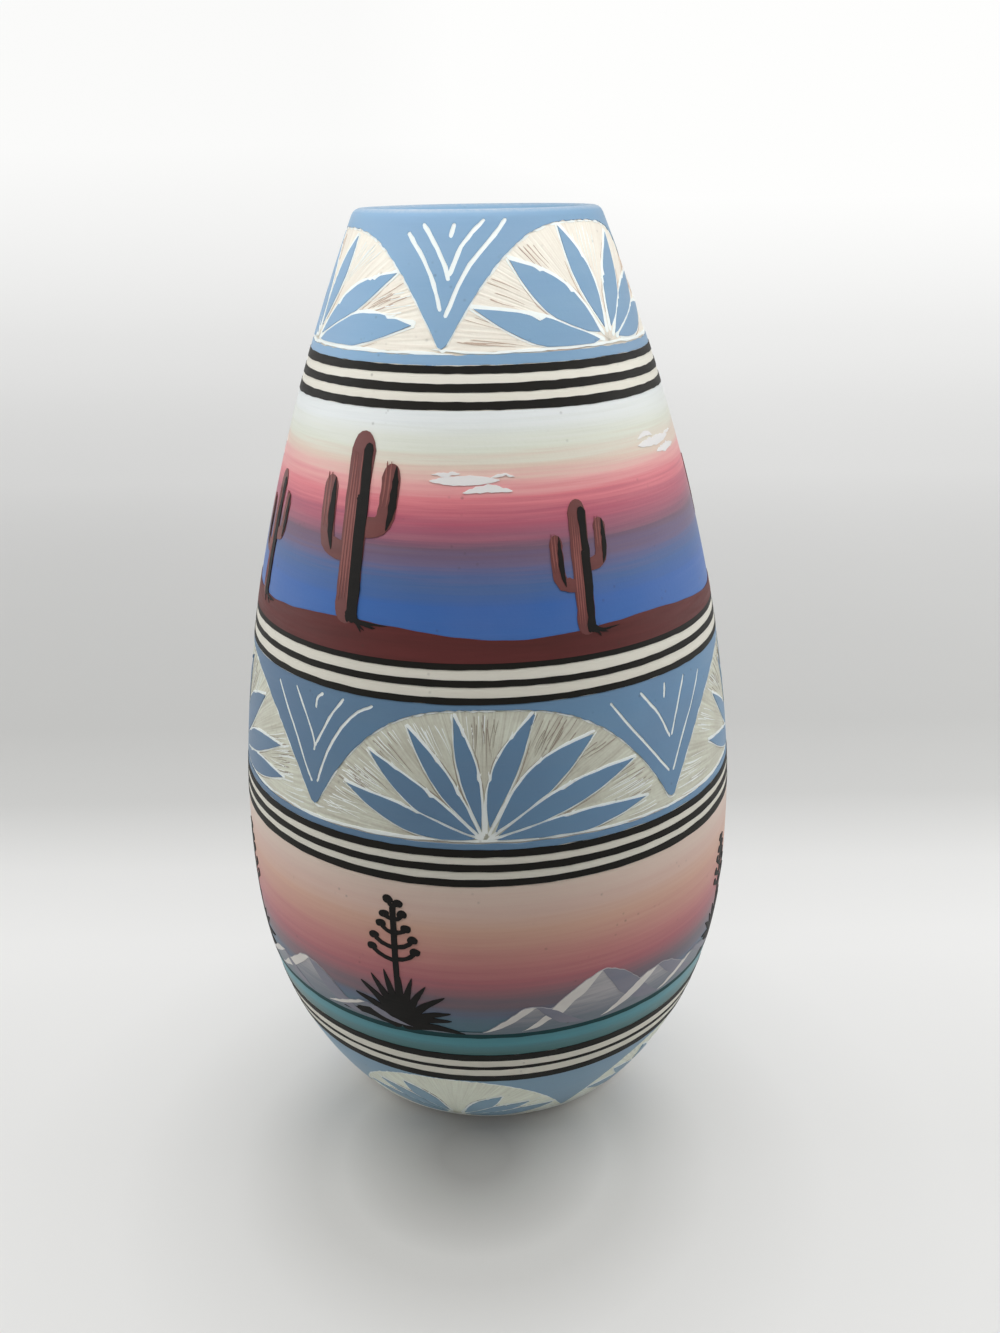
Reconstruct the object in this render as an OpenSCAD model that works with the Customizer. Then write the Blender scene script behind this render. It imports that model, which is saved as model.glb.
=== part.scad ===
// Pottery vase: one hollow clay body under coats of matt paint, with fans etched through the blue coats.
// Millimetres, +Z up. The origin is on the table under the centre of the foot, and -Y is the front.
// Azimuths are degrees about +Z: 0 is the front and 90 is the +X side.

/* [Clay body] */
// Height of the clay from the foot to the top of the lip
vase_h = 254; // [235:1:290]
// Widest outside diameter of the clay
belly_d = 144; // [130:1:165]
// Height of the widest place above the table
belly_z = 85; // [75:1:98]
// Outside diameter of the foot
foot_d = 95; // [84:1:106]
// Outside diameter that the wall is heading for at the lip
mouth_d = 63.5; // [58:0.5:74]
// Power of the curve from the foot to the belly, higher is fuller
lower_curve = 2.75; // [2.2:0.05:3.3]
// Power of the curve from the belly to the lip, higher is fuller
upper_curve = 1.76; // [1.5:0.02:2.1]
// Thickness of the clay wall, square to its face
wall = 5; // [4:0.25:7]
// Thickness of the clay floor
floor_t = 7; // [5:0.5:10]
// Radius inside, where the floor meets the wall
floor_fillet = 10; // [6:0.5:14]
// Width of the ring that the vase stands on
foot_ring_w = 10; // [7:0.5:14]
// Depth of the hollow inside the foot ring
foot_recess = 1.5; // [1:0.25:3]
// Height of the eased edge round the foot
foot_edge = 0.8; // [0.4:0.1:1]

/* [Paint coats] */
// Thickness of a first coat, laid on the clay
coat = 0.3; // [0.2:0.05:0.5]
// Thickness of a coat painted over another one
overlay = 0.2; // [0.1:0.05:0.4]
// Bare clay left under the lowest coat
foot_margin = 1.2; // [1:0.1:3]
// How far round the lip the blue coat goes, from the outside wall to the mouth
lip_cover = 130; // [95:5:160]

/* [Bands, from the foot up] */
// Height of the etched band at the base
base_band_h = 25.2; // [22:0.2:30]
// Width of the two outer lines over the base band
base_line_w = 2.4; // [1.6:0.1:3]
// Width of the thin line between them
base_thin_w = 1.2; // [0.8:0.1:2]
// Cream left between the base lines
base_gap = 2.9; // [2:0.1:4]
// Height of the teal strip
teal_h = 7; // [5:0.5:10]
// Width of the horizon line over the teal strip
horizon_w = 2.4; // [1.6:0.1:3]
// Height of the lower sky above the horizon line
lower_sky_h = 46.3; // [40:0.1:50]
// Width of a line over the lower sky
lower_line_w = 2.1; // [1.4:0.1:2.6]
// Cream left between the lines over the lower sky
lower_gap = 1.9; // [1.4:0.1:3]
// Height of the etched band round the middle
middle_band_h = 37.5; // [34:0.1:40]
// Width of a line over the middle band
middle_line_w = 1.7; // [1.2:0.1:2.4]
// Cream left between the lines over the middle band
middle_gap = 2.55; // [1.8:0.05:3.2]
// Height of the red ground at the foot of the upper sky
ground_h = 6.1; // [4:0.1:9]
// Width of a line over the upper sky
upper_line_w = 2; // [1.4:0.1:2.6]
// Cream left between the lines over the upper sky
upper_gap = 2.1; // [1.4:0.1:3]
// Height of the etched band at the rim, up to the top of the lip
rim_band_h = 34.2; // [31:0.1:38]

/* [Etched fans] */
// Fans round the rim band
rim_fans = 3; // [2:1:5]
// Fans round the middle band
middle_fans = 4; // [3:1:6]
// Fans round the base band
base_fans = 5; // [4:1:7]
// Leaves in a fan of the rim band
rim_leaves = 6; // [4:1:7]
// Leaves in a fan of the middle band
middle_leaves = 8; // [5:1:9]
// Leaves in a fan of the base band
base_leaves = 6; // [4:1:7]
// Azimuth of the first fan of the rim band
rim_turn = 48.4; // [0:0.1:120]
// Azimuth of the first fan of the middle band
middle_turn = 2.5; // [0:0.1:90]
// Azimuth of the first fan of the base band
base_turn = -12; // [-36:1:36]
// Blue strip under the rim fans
rim_border = 2.2; // [1:0.1:3]
// Blue strip under the middle fans
middle_border = 1.6; // [1:0.1:3]
// Blue left between the fans and the top of their band
fan_margin = 1.6; // [1.2:0.1:2.5]
// Power of the fan's arch: 2 is a parabola, more is squarer
fan_power = 2.35; // [2:0.05:2.8]
// Height of a chevron's tip above the line that the rim fans stand on
rim_tip = 0.5; // [0.3:0.1:2]
// Height of a chevron's tip above the line that the middle fans stand on
middle_tip = 2.7; // [1:0.1:4]
// Height of the tip between two fans above the line that the base fans stand on
base_tip = 1.5; // [0.5:0.1:3]
// Width of a scratched line
scratch_w = 0.8; // [0.5:0.1:1.2]
// Widest part of a leaf
leaf_w = 5.6; // [4:0.1:6]
// Bare clay between the fan's centre and its leaves
leaf_root = 7; // [6.5:0.25:9]
// Bare clay between a leaf's tip and the arch
leaf_tip = 1.8; // [1:0.1:3]

/* [Scratched chevrons] */
// Half width of the outer V in the rim band
rim_outer_w = 12.2; // [10:0.1:13]
// Depth of the outer V in the rim band, from its top
rim_outer_d = 19; // [15:0.5:20]
// Half width of the inner V in the rim band
rim_inner_w = 7.3; // [5:0.1:8]
// Depth of the inner V in the rim band, from its top
rim_inner_d = 12; // [9:0.5:13]
// Half width of the outer V in the middle band
middle_outer_w = 17.5; // [14:0.5:18.5]
// Depth of the outer V in the middle band, from its top
middle_outer_d = 23; // [18:0.5:24]
// Half width of the inner V in the middle band
middle_inner_w = 8.9; // [6:0.1:10]
// Depth of the inner V in the middle band, from its top
middle_inner_d = 15; // [11:0.5:16]
// Length of the tick inside the inner V
tick = 4; // [2.5:0.5:6]

/* [Painted plants and clouds] */
// Height of the dunes on the red ground
dune_h = 2.4; // [1:0.1:4]
// Height of the tallest cactus, from half way down the red ground
cactus_h = 46; // [36:0.5:48]
// Width of the tallest cactus's trunk
trunk_w = 7; // [5:0.1:8]
// Width of the tallest cactus's arms
arm_w = 4.8; // [3.6:0.1:5.4]
// How far its arms stand out from the trunk's middle
arm_reach = 8.8; // [7.5:0.1:11]
// Where the low arm leaves the trunk, as a share of the plant's height
low_arm = 0.4; // [0.35:0.01:0.5]
// Where the low arm ends
low_arm_top = 0.76; // [0.7:0.01:0.85]
// Where the high arm leaves the trunk
high_arm = 0.55; // [0.5:0.01:0.62]
// Where the high arm ends
high_arm_top = 0.86; // [0.78:0.01:0.92]
// Width of the shade on the tallest trunk
trunk_shade_w = 2.6; // [1.6:0.1:3.4]
// Width of the shade on its arms
arm_shade_w = 1.7; // [1.2:0.1:2.4]
// Height of the highest cloud over the red ground
cloud_z = 41; // [34:0.5:44]
// Length of a long streak of cloud
cloud_l = 17; // [12:0.5:20]
// Thickness of a long streak of cloud
cloud_w = 2.6; // [1.5:0.1:4]
// Length of a short streak of cloud
short_cloud_l = 12; // [8:0.5:14]
// Thickness of a short streak of cloud
short_cloud_w = 2; // [1.2:0.1:3]
// How far the short streak is set along the long one
cloud_shift = 5.6; // [3:0.1:8]
// Sky left between the two streaks
cloud_gap = 0.4; // [0.3:0.1:1.5]
// Height of the highest hill over the horizon line
hill_h = 16; // [10:0.5:20]
// Blades of an agave
agave_blades = 11; // [7:2:13]
// Length of the largest agave's blades
blade_l = 19; // [15:0.5:22]
// How far out the notches between the blades come, as a share of their length
blade_notch = 0.38; // [0.25:0.01:0.5]
// Height of the largest agave's flower stalk
stalk_h = 40; // [32:0.5:43]
// Width of an agave's flower stalk and branches
stalk_w = 1.7; // [1.2:0.1:2.2]
// Tiers of flower branches
flower_tiers = 5; // [3:1:6]
// Half width of the largest agave's top flower branch, which each lower tier adds again
flower_w = 1.4; // [1:0.1:1.7]
// Height between two tiers of its branches
flower_gap = 3.7; // [3:0.1:4.2]
// How far a branch climbs, as a share of its reach
branch_climb = 0.45; // [0.2:0.05:0.7]
// Diameter of the largest agave's flower heads
flower_d = 2.6; // [1.8:0.1:3]

/* [Hidden] */
$fn = 96;

// Places of the plants, clouds and hills: azimuth, then size as a share of the largest
cacti = [[-33, 1], [24, 0.68], [97, 0.9], [163, 0.62], [236, 0.97], [291, 0.72]];
clouds = [[-4, 0.88], [58, 0.98], [128, 0.85], [196, 1], [268, 0.9]];
agaves = [[-20, 1], [70, 0.85], [142, 1], [214, 0.8], [285, 0.95]];
// Hills have a third value, their half width in degrees
hills = [
    [10, 0.5, 12], [25, 1, 18], [41, 0.62, 16], [55, 0.35, 14],
    [99, 0.55, 15], [114, 0.93, 18], [131, 0.4, 14],
    [170, 0.45, 13], [184, 0.8, 17], [201, 0.5, 14],
    [237, 0.6, 14], [252, 1, 18], [269, 0.5, 15],
    [303, 0.4, 12], [315, 0.73, 16], [331, 0.3, 12]
];

// Radii of the clay, and two radii well inside and outside it for cutters
belly_r = belly_d / 2;
foot_r = foot_d / 2;
mouth_r = mouth_d / 2;
core_r = wall;
reach_r = 1.4 * belly_r;

// Levels where one band ends and the next starts
base_z0 = foot_margin;
base_z1 = base_z0 + base_band_h;
base_lines_z1 = base_z1 + 2 * base_line_w + base_thin_w + 2 * base_gap;
teal_z1 = base_lines_z1 + teal_h;
horizon_z1 = teal_z1 + horizon_w;
lower_sky_z1 = horizon_z1 + lower_sky_h;
lower_lines_z1 = lower_sky_z1 + 3 * lower_line_w + 2 * lower_gap;
middle_z1 = lower_lines_z1 + middle_band_h;
middle_lines_z1 = middle_z1 + 3 * middle_line_w + 2 * middle_gap;
rim_z0 = vase_h - rim_band_h;
upper_sky_z1 = rim_z0 - 3 * upper_line_w - 2 * upper_gap;
ground_z1 = middle_lines_z1 + ground_h;

// Lines that the fans stand on, and the tops of their arches
base_fan_z0 = base_z0 + scratch_w;
base_fan_z1 = base_z1 - fan_margin;
middle_fan_z0 = lower_lines_z1 + middle_border + scratch_w;
middle_fan_z1 = middle_z1 - fan_margin;
rim_fan_z0 = rim_z0 + rim_border + scratch_w;
rim_fan_z1 = vase_h - wall / 2;

// Steps of the round forms
station_gap = 3;
lip_steps = 14;
fillet_steps = 8;
fan_steps = 28;
arch_halvings = 24;
ring_steps = 120;
arc_steps = 256;
oval_steps = 32;
flower_sides = 8;

// Nearest that a station comes to the end of a profile
station_near = 0.1 * station_gap;

// Waves of the dunes round the vase and where they start, and the power of a hill's outline
dune_waves = [3, 2];
dune_starts = [20, -50];
hill_curve = 1.4;

// Outside radius of the clay at a height
function radius(z) =
    z < belly_z
    ? belly_r - (belly_r - foot_r) * pow(1 - z / belly_z, lower_curve)
    : belly_r - (belly_r - mouth_r) * pow((z - belly_z) / (vase_h - belly_z), upper_curve);

// Change of that radius with height
function slope(z) =
    z < belly_z
    ? (belly_r - foot_r) * lower_curve / belly_z * pow(1 - z / belly_z, lower_curve - 1)
    : -(belly_r - mouth_r) * upper_curve / (vase_h - belly_z)
        * pow((z - belly_z) / (vase_h - belly_z), upper_curve - 1);

// Length of the outward normal before it is made a unit
function stretch(z) = sqrt(1 + pow(slope(z), 2));

// Point of the profile at height z, moved out by t square to the face
function skin(z, t) = [radius(z) + t / stretch(z), z - t * slope(z) / stretch(z)];

// Inside radius of the clay at a height
function bore(z) = radius(z) - wall * stretch(z);

// Heights at which a stretch of the profile is drawn
function stations(z0, z1) = concat(
    [z0],
    [for (i = [1 : ceil(vase_h / station_gap)])
        let (z = i * station_gap)
        if (z > z0 + station_near && z < z1 - station_near) z],
    [z1]
);

function reversed(list) = [for (i = [len(list) - 1 : -1 : 0]) list[i]];

// Half-round lip: its lean, its radius, its centre and the heights where it meets the two faces
lip_lean = atan(-slope(vase_h));
lip_r = wall / 2;
lip_z = vase_h - lip_r * (1 - sin(lip_lean));
lip_in_z = vase_h - lip_r * (1 + sin(lip_lean));
lip_centre = [radius(lip_z) - lip_r * cos(lip_lean), vase_h - lip_r];

// Points round the lip, moved out by t, from the outside face through the given sweep
function lip_arc(sweep, t) = [
    for (i = [1 : lip_steps])
        let (a = lip_lean + sweep * i / lip_steps)
        lip_centre + (lip_r + t) * [cos(a), sin(a)]
];

// Rounded corner inside, between the floor and the leaning wall
floor_lean = atan(slope(floor_t));
floor_tangent = floor_fillet / tan(45 + floor_lean / 2);
floor_centre = [bore(floor_t) - floor_tangent, floor_t + floor_fillet];
floor_top = floor_centre[1] - floor_fillet * sin(floor_lean);

// One thin shell over the outside face, between two heights and two depths
module shell(z0, z1, t0, t1) {
    heights = stations(z0, z1);
    rotate_extrude()
        polygon(concat(
            [for (z = heights) skin(z, t1)],
            [for (z = reversed(heights)) skin(z, t0)]
        ));
}

// Shell over the outside face that goes on round the lip
module lip_shell(z0) {
    heights = stations(z0, lip_z);
    rotate_extrude()
        polygon(concat(
            [for (z = heights) skin(z, coat)],
            lip_arc(lip_cover, coat),
            reversed(lip_arc(lip_cover, 0)),
            [for (z = reversed(heights)) skin(z, 0)]
        ));
}

// First coat and overpainted coat between two heights
module first_coat(z0, z1) { shell(z0, z1, 0, coat); }
module over_coat(z0, z1) { shell(z0, z1, coat, coat + overlay); }

// Ring-shaped cutter from z0 up to a level that changes round the vase: columns of azimuth and level
module crown(columns, z0) {
    n = len(columns);
    polyhedron(
        points = [
            for (c = columns)
                let (x = sin(c[0]), y = -cos(c[0]))
                each [
                    [core_r * x, core_r * y, z0],
                    [reach_r * x, reach_r * y, z0],
                    [reach_r * x, reach_r * y, c[1]],
                    [core_r * x, core_r * y, c[1]]
                ]
        ],
        faces = [
            for (i = [0 : n - 1], k = [0 : 3])
                let (j = (i + 1) % n, m = (k + 1) % 4)
                each [
                    [4 * i + k, 4 * i + m, 4 * j + m],
                    [4 * i + k, 4 * j + m, 4 * j + k]
                ]
        ]
    );
}

// Stands a drawing upright on the wall at an azimuth and a height, pointing outwards
module on_wall(azimuth, z) {
    rotate([0, 0, azimuth]) translate([0, 0, z]) rotate([90, 0, 0]) children();
}

// Leaf-shaped prism with two round sides, along X
module lens(l, w) {
    r = (l * l + w * w) / (4 * w);
    intersection() {
        translate([0, r - w / 2, core_r]) cylinder(r = r, h = reach_r, $fn = arc_steps);
        translate([0, w / 2 - r, core_r]) cylinder(r = r, h = reach_r, $fn = arc_steps);
    }
}

// Oval prism, along X
module oval(l, w) {
    translate([0, 0, core_r])
        linear_extrude(reach_r)
        polygon([for (i = [0 : oval_steps - 1])
            let (a = 360 * i / oval_steps)
            [l * cos(a), w * sin(a)] / 2]);
}

// Straight bar prism between two points
module bar(from, to, w) {
    d = to - from;
    translate([from[0], from[1], core_r])
        rotate([0, 0, atan2(d[1], d[0])])
        translate([0, -w / 2, 0])
        cube([norm(d), w, reach_r]);
}

// Bar prism with round ends
module round_bar(from, to, w) {
    bar(from, to, w);
    for (end = [from, to])
        translate([end[0], end[1], core_r]) cylinder(d = w, h = reach_r);
}

// Height of a fan's arch at a share of the way from its middle to the tip of a chevron
function arch(share, tip_z, z1) = z1 - (z1 - tip_z) * pow(abs(share), fan_power);

// Columns of the arches of a row of fans, which meet in the tips of the chevrons between them
function fan_columns(fans, turn, tip_z, z1) = [
    for (k = [0 : fans - 1], i = [0 : fan_steps - 1])
        let (share = 2 * i / fan_steps - 1)
        [turn + (k + share / 2) * 360 / fans, arch(share, tip_z, z1)]
];

// Distance from a fan's centre to its arch in the direction of an angle, found by halving
function arch_reach(angle, half_w, tip_h, h, near = 0, far = vase_h, halvings = arch_halvings) =
    let (d = (near + far) / 2)
    halvings == 0 ? d
    : d * sin(angle) < arch(d * cos(angle) / half_w, tip_h, h)
    ? arch_reach(angle, half_w, tip_h, h, d, far, halvings - 1)
    : arch_reach(angle, half_w, tip_h, h, near, d, halvings - 1);

// Leaves of a row of fans, each cut from the first coat
module leaf_row(fans, turn, leaves, z0, tip_h, z1) {
    half_w = PI * radius((z0 + z1) / 2) / fans;
    for (k = [0 : fans - 1], j = [0 : leaves - 1]) {
        angle = (j + 0.5) * 180 / leaves;
        tip = arch_reach(angle, half_w, tip_h, z1 - z0) - leaf_tip;
        middle = (leaf_root + tip) / 2;
        z = z0 + middle * sin(angle);
        turn_by = middle * cos(angle) / radius(z) * 180 / PI;
        rise = (tip - leaf_root) / 2 * sin(angle) + leaf_w / 2;
        intersection() {
            first_coat(max(z - rise, z0), min(z + rise, z1));
            on_wall(turn + k * 360 / fans + turn_by, z)
                rotate([0, 0, angle])
                lens(tip - leaf_root, leaf_w);
        }
    }
}

// Scratches of the chevrons between the fans: two Vs and a tick, hanging from z1
module scratches(fans, turn, z1, outer, inner) {
    for (k = [0 : fans - 1])
        on_wall(turn + (k + 0.5) * 360 / fans, z1) {
            for (v = [outer, inner], side = [-1, 1])
                bar([side * v[0], 0], [0, -v[1]], scratch_w);
            bar([0, 0], [0, -tick], scratch_w);
        }
}

// Three lines painted over a cream band that starts at z0
module three_lines(z0, w, thin_w, gap) {
    over_coat(z0, z0 + w);
    over_coat(z0 + w + gap, z0 + w + gap + thin_w);
    over_coat(z0 + w + 2 * gap + thin_w, z0 + 2 * w + 2 * gap + thin_w);
}

// Hollow clay body, turned from one profile
module clay_body() {
    color("antiquewhite")
    rotate_extrude()
        polygon(concat(
            [[radius(foot_edge) - foot_edge, 0]],
            [for (z = stations(foot_edge, lip_z)) skin(z, 0)],
            lip_arc(180, 0),
            [for (z = reversed(stations(floor_top, lip_in_z))) if (z < lip_in_z) [bore(z), z]],
            [for (i = [1 : fillet_steps])
                let (a = -floor_lean - (90 - floor_lean) * i / fillet_steps)
                floor_centre + floor_fillet * [cos(a), sin(a)]],
            [
                [0, floor_t],
                [0, foot_recess],
                [foot_r - foot_ring_w - foot_recess, foot_recess],
                [foot_r - foot_ring_w, 0]
            ]
        ));
}

// Etched band at the base
module base_blue_field() {
    color([0.30, 0.41, 0.56])
    difference() {
        first_coat(base_fan_z0, base_z1);
        crown(fan_columns(base_fans, base_turn, base_fan_z0 + base_tip, base_fan_z1), -base_z1);
    }
}

module base_blue_leaves() {
    color([0.30, 0.41, 0.56])
    leaf_row(base_fans, base_turn, base_leaves, base_fan_z0, base_tip, base_fan_z1);
}

module base_cream_band() {
    color([0.86, 0.83, 0.76]) first_coat(base_z1, base_lines_z1);
}

module base_lines() {
    color([0.13, 0.14, 0.12]) three_lines(base_z1, base_line_w, base_thin_w, base_gap);
}

// Lower picture band
module teal_strip() {
    color([0.25, 0.45, 0.47]) first_coat(base_lines_z1, teal_z1);
}

module lower_sky() {
    color([0.70, 0.52, 0.50]) first_coat(teal_z1, lower_sky_z1);
}

module horizon_line() {
    color([0.10, 0.14, 0.14]) over_coat(teal_z1, horizon_z1);
}

// Height of the pale hills over the horizon line at an azimuth
function hill(azimuth) = max([
    for (h = hills)
        let (away = abs((azimuth - h[0] + 540) % 360 - 180) / h[2])
        away < 1 ? h[1] * hill_h * pow(cos(90 * away), hill_curve) : 0
]);

module hill_crown() {
    crown([for (i = [0 : ring_steps - 1])
        let (a = 360 * i / ring_steps)
        [a, horizon_z1 + hill(a)]], base_z0);
}

module pale_hills() {
    color([0.80, 0.79, 0.80])
    intersection() {
        over_coat(horizon_z1, lower_sky_z1);
        hill_crown();
    }
}

// Outline of an agave's rosette: blade tips with notches between them
function rosette(l) = [
    for (i = [0 : 2 * agave_blades])
        let (
            a = 180 * i / (2 * agave_blades),
            r = i % 2 == 1 ? l : l * blade_notch
        )
        r * [cos(a), sin(a)]
];

module agave_plants() {
    color([0.12, 0.10, 0.10])
    difference() {
        intersection() {
            over_coat(horizon_z1, lower_sky_z1);
            for (p = agaves)
                on_wall(p[0], horizon_z1) {
                    translate([0, 0, core_r])
                        linear_extrude(reach_r)
                        polygon(rosette(p[1] * blade_l));
                    bar([0, 0], p[1] * [0, stalk_h], stalk_w);
                    for (i = [0 : flower_tiers - 1], side = [-1, 1]) {
                        out = flower_w * (1 + i);
                        end = p[1] * [side * out, stalk_h - flower_gap * i];
                        bar(end - p[1] * out * [side, branch_climb], end, stalk_w);
                        translate([end[0], end[1], core_r])
                            cylinder(d = p[1] * flower_d, h = reach_r, $fn = flower_sides);
                    }
                }
        }
        hill_crown();
    }
}

module lower_cream_band() {
    color([0.88, 0.85, 0.79]) first_coat(lower_sky_z1, lower_lines_z1);
}

module lower_lines() {
    color([0.13, 0.12, 0.11]) three_lines(lower_sky_z1, lower_line_w, lower_line_w, lower_gap);
}

// Etched band round the middle
module middle_blue_border() {
    color([0.32, 0.43, 0.60]) first_coat(lower_lines_z1, lower_lines_z1 + middle_border);
}

module middle_blue_field() {
    color([0.32, 0.43, 0.60])
    difference() {
        first_coat(middle_fan_z0, middle_z1);
        crown(fan_columns(middle_fans, middle_turn, middle_fan_z0 + middle_tip, middle_fan_z1), lower_sky_z1);
        scratches(
            middle_fans, middle_turn, middle_fan_z1,
            [middle_outer_w, middle_outer_d], [middle_inner_w, middle_inner_d]
        );
    }
}

module middle_blue_leaves() {
    color([0.32, 0.43, 0.60])
    leaf_row(middle_fans, middle_turn, middle_leaves, middle_fan_z0, middle_tip, middle_fan_z1);
}

module middle_cream_band() {
    color([0.90, 0.88, 0.82]) first_coat(middle_z1, middle_lines_z1);
}

module middle_lines() {
    color([0.15, 0.13, 0.12]) three_lines(middle_z1, middle_line_w, middle_line_w, middle_gap);
}

// Upper picture band
module upper_sky() {
    color([0.75, 0.60, 0.66]) first_coat(middle_lines_z1, upper_sky_z1);
}

module ground_crown() {
    crown([for (i = [0 : ring_steps - 1])
        let (
            a = 360 * i / ring_steps,
            wave = sin(dune_waves[0] * a + dune_starts[0]) * sin(dune_waves[1] * a + dune_starts[1])
        )
        [a, ground_z1 + dune_h * wave]], base_z0);
}

module red_ground() {
    color([0.42, 0.20, 0.20])
    intersection() {
        over_coat(middle_lines_z1, upper_sky_z1);
        ground_crown();
    }
}

module cactus_plants() {
    color([0.38, 0.16, 0.17])
    difference() {
        intersection() {
            over_coat(middle_lines_z1, upper_sky_z1);
            for (p = cacti)
                on_wall(p[0], middle_lines_z1 + ground_h / 2) {
                    h = p[1] * cactus_h;
                    out = p[1] * arm_reach;
                    round_bar([0, 0], [0, h], p[1] * trunk_w);
                    round_bar([0, low_arm * h], [-out, low_arm * h], p[1] * arm_w);
                    round_bar([-out, low_arm * h], [-out, low_arm_top * h], p[1] * arm_w);
                    round_bar([0, high_arm * h], [out, high_arm * h], p[1] * arm_w);
                    round_bar([out, high_arm * h], [out, high_arm_top * h], p[1] * arm_w);
                }
        }
        ground_crown();
    }
}

module cactus_shade() {
    x = (trunk_w - trunk_shade_w) / 2;
    color([0.12, 0.09, 0.09])
    difference() {
        intersection() {
            shell(middle_lines_z1, upper_sky_z1, coat + overlay, coat + 2 * overlay);
            for (p = cacti)
                on_wall(p[0], middle_lines_z1 + ground_h / 2) {
                    h = p[1] * cactus_h;
                    out = p[1] * arm_reach;
                    bar([p[1] * x, 0], [p[1] * x, h], p[1] * trunk_shade_w);
                    for (arm = [[-out, low_arm, low_arm_top], [out, high_arm, high_arm_top]])
                        bar([arm[0], arm[1] * h], [arm[0], arm[2] * h], p[1] * arm_shade_w);
                }
        }
        ground_crown();
    }
}

module cloud_streaks() {
    color([0.93, 0.92, 0.91])
    intersection() {
        over_coat(ground_z1, upper_sky_z1);
        for (c = clouds)
            on_wall(c[0], ground_z1 + c[1] * cloud_z) {
                oval(cloud_l, cloud_w);
                translate([cloud_shift, -(cloud_w + short_cloud_w) / 2 - cloud_gap])
                    oval(short_cloud_l, short_cloud_w);
            }
    }
}

module upper_cream_band() {
    color([0.93, 0.92, 0.86]) first_coat(upper_sky_z1, rim_z0);
}

module upper_lines() {
    color([0.17, 0.16, 0.13]) three_lines(upper_sky_z1, upper_line_w, upper_line_w, upper_gap);
}

// Etched band at the rim
module rim_blue_border() {
    color([0.42, 0.60, 0.80]) first_coat(rim_z0, rim_z0 + rim_border);
}

module rim_blue_field() {
    color([0.42, 0.60, 0.80])
    difference() {
        lip_shell(rim_fan_z0);
        crown(fan_columns(rim_fans, rim_turn, rim_fan_z0 + rim_tip, rim_fan_z1), middle_z1);
        scratches(
            rim_fans, rim_turn, rim_fan_z1,
            [rim_outer_w, rim_outer_d], [rim_inner_w, rim_inner_d]
        );
    }
}

module rim_blue_leaves() {
    color([0.42, 0.60, 0.80])
    leaf_row(rim_fans, rim_turn, rim_leaves, rim_fan_z0, rim_tip, rim_fan_z1);
}

clay_body();
base_blue_field();
base_blue_leaves();
base_cream_band();
base_lines();
teal_strip();
lower_sky();
horizon_line();
pale_hills();
agave_plants();
lower_cream_band();
lower_lines();
middle_blue_border();
middle_blue_field();
middle_blue_leaves();
middle_cream_band();
middle_lines();
upper_sky();
red_ground();
cactus_plants();
cactus_shade();
cloud_streaks();
upper_cream_band();
upper_lines();
rim_blue_border();
rim_blue_field();
rim_blue_leaves();
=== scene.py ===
"""Pottery vase: a hollow clay body under coats of matt paint, with fans etched through the blue coats.

Sizes are millimetres until a point is placed, when they become metres. Azimuths are degrees about +Z:
0 is the front, on the -Y side, and 90 is the +X side.
"""
import logging
import math
import random
from dataclasses import dataclass, field
from enum import Enum
from typing import Callable, Sequence

import bpy
from mathutils import Matrix, Vector, noise


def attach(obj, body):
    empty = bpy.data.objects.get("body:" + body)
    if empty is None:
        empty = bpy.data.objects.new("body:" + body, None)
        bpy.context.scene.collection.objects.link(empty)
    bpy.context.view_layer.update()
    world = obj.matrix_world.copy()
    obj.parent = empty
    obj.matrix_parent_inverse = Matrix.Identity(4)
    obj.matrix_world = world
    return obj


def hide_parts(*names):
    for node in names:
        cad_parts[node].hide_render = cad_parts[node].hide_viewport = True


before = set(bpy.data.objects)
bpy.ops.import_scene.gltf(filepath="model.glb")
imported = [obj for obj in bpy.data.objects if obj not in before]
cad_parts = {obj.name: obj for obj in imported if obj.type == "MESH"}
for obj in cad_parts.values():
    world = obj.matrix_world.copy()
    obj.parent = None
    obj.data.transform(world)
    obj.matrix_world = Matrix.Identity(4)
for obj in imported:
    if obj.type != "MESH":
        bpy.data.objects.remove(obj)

log = logging.getLogger("vase")

MM = 0.001
ROOT = "root"
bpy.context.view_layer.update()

# Levels where the bands meet, in millimetres
BASE_TOP = 26.4
TEAL_LOW = 38.2
TEAL_TOP = 45.2
HORIZON = 47.6
LOWER_SKY_TOP = 93.9
MIDDLE_TOP = 141.5
UPPER_SKY_LOW = 151.7
DUNE_LEVEL = 157.8
UPPER_SKY_TOP = 209.6

# Thicknesses of the layers, in millimetres
COAT_T = 0.35
BED_T = 0.3
OVER_T = 0.22
LINE_T = 0.2
FACE_T = 0.15
HAIR_T = 0.12
CUT_T = 0.8

Flat = tuple[float, float]
Triple = tuple[float, float, float]
Colour = tuple[int, int, int]
LeafPlan = tuple[float, float, float, float]
Piece = bpy.types.Object
Node = bpy.types.Node
Socket = bpy.types.NodeSocket


class Layer(Enum):
    """How far the outer face of a layer stands out from the clay, in millimetres."""

    GROUND = 0.10
    MARK = 0.15
    BED = 0.18
    COAT = 0.30
    LINE = 0.42
    OVER = 0.50
    SHADE = 0.60


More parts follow.
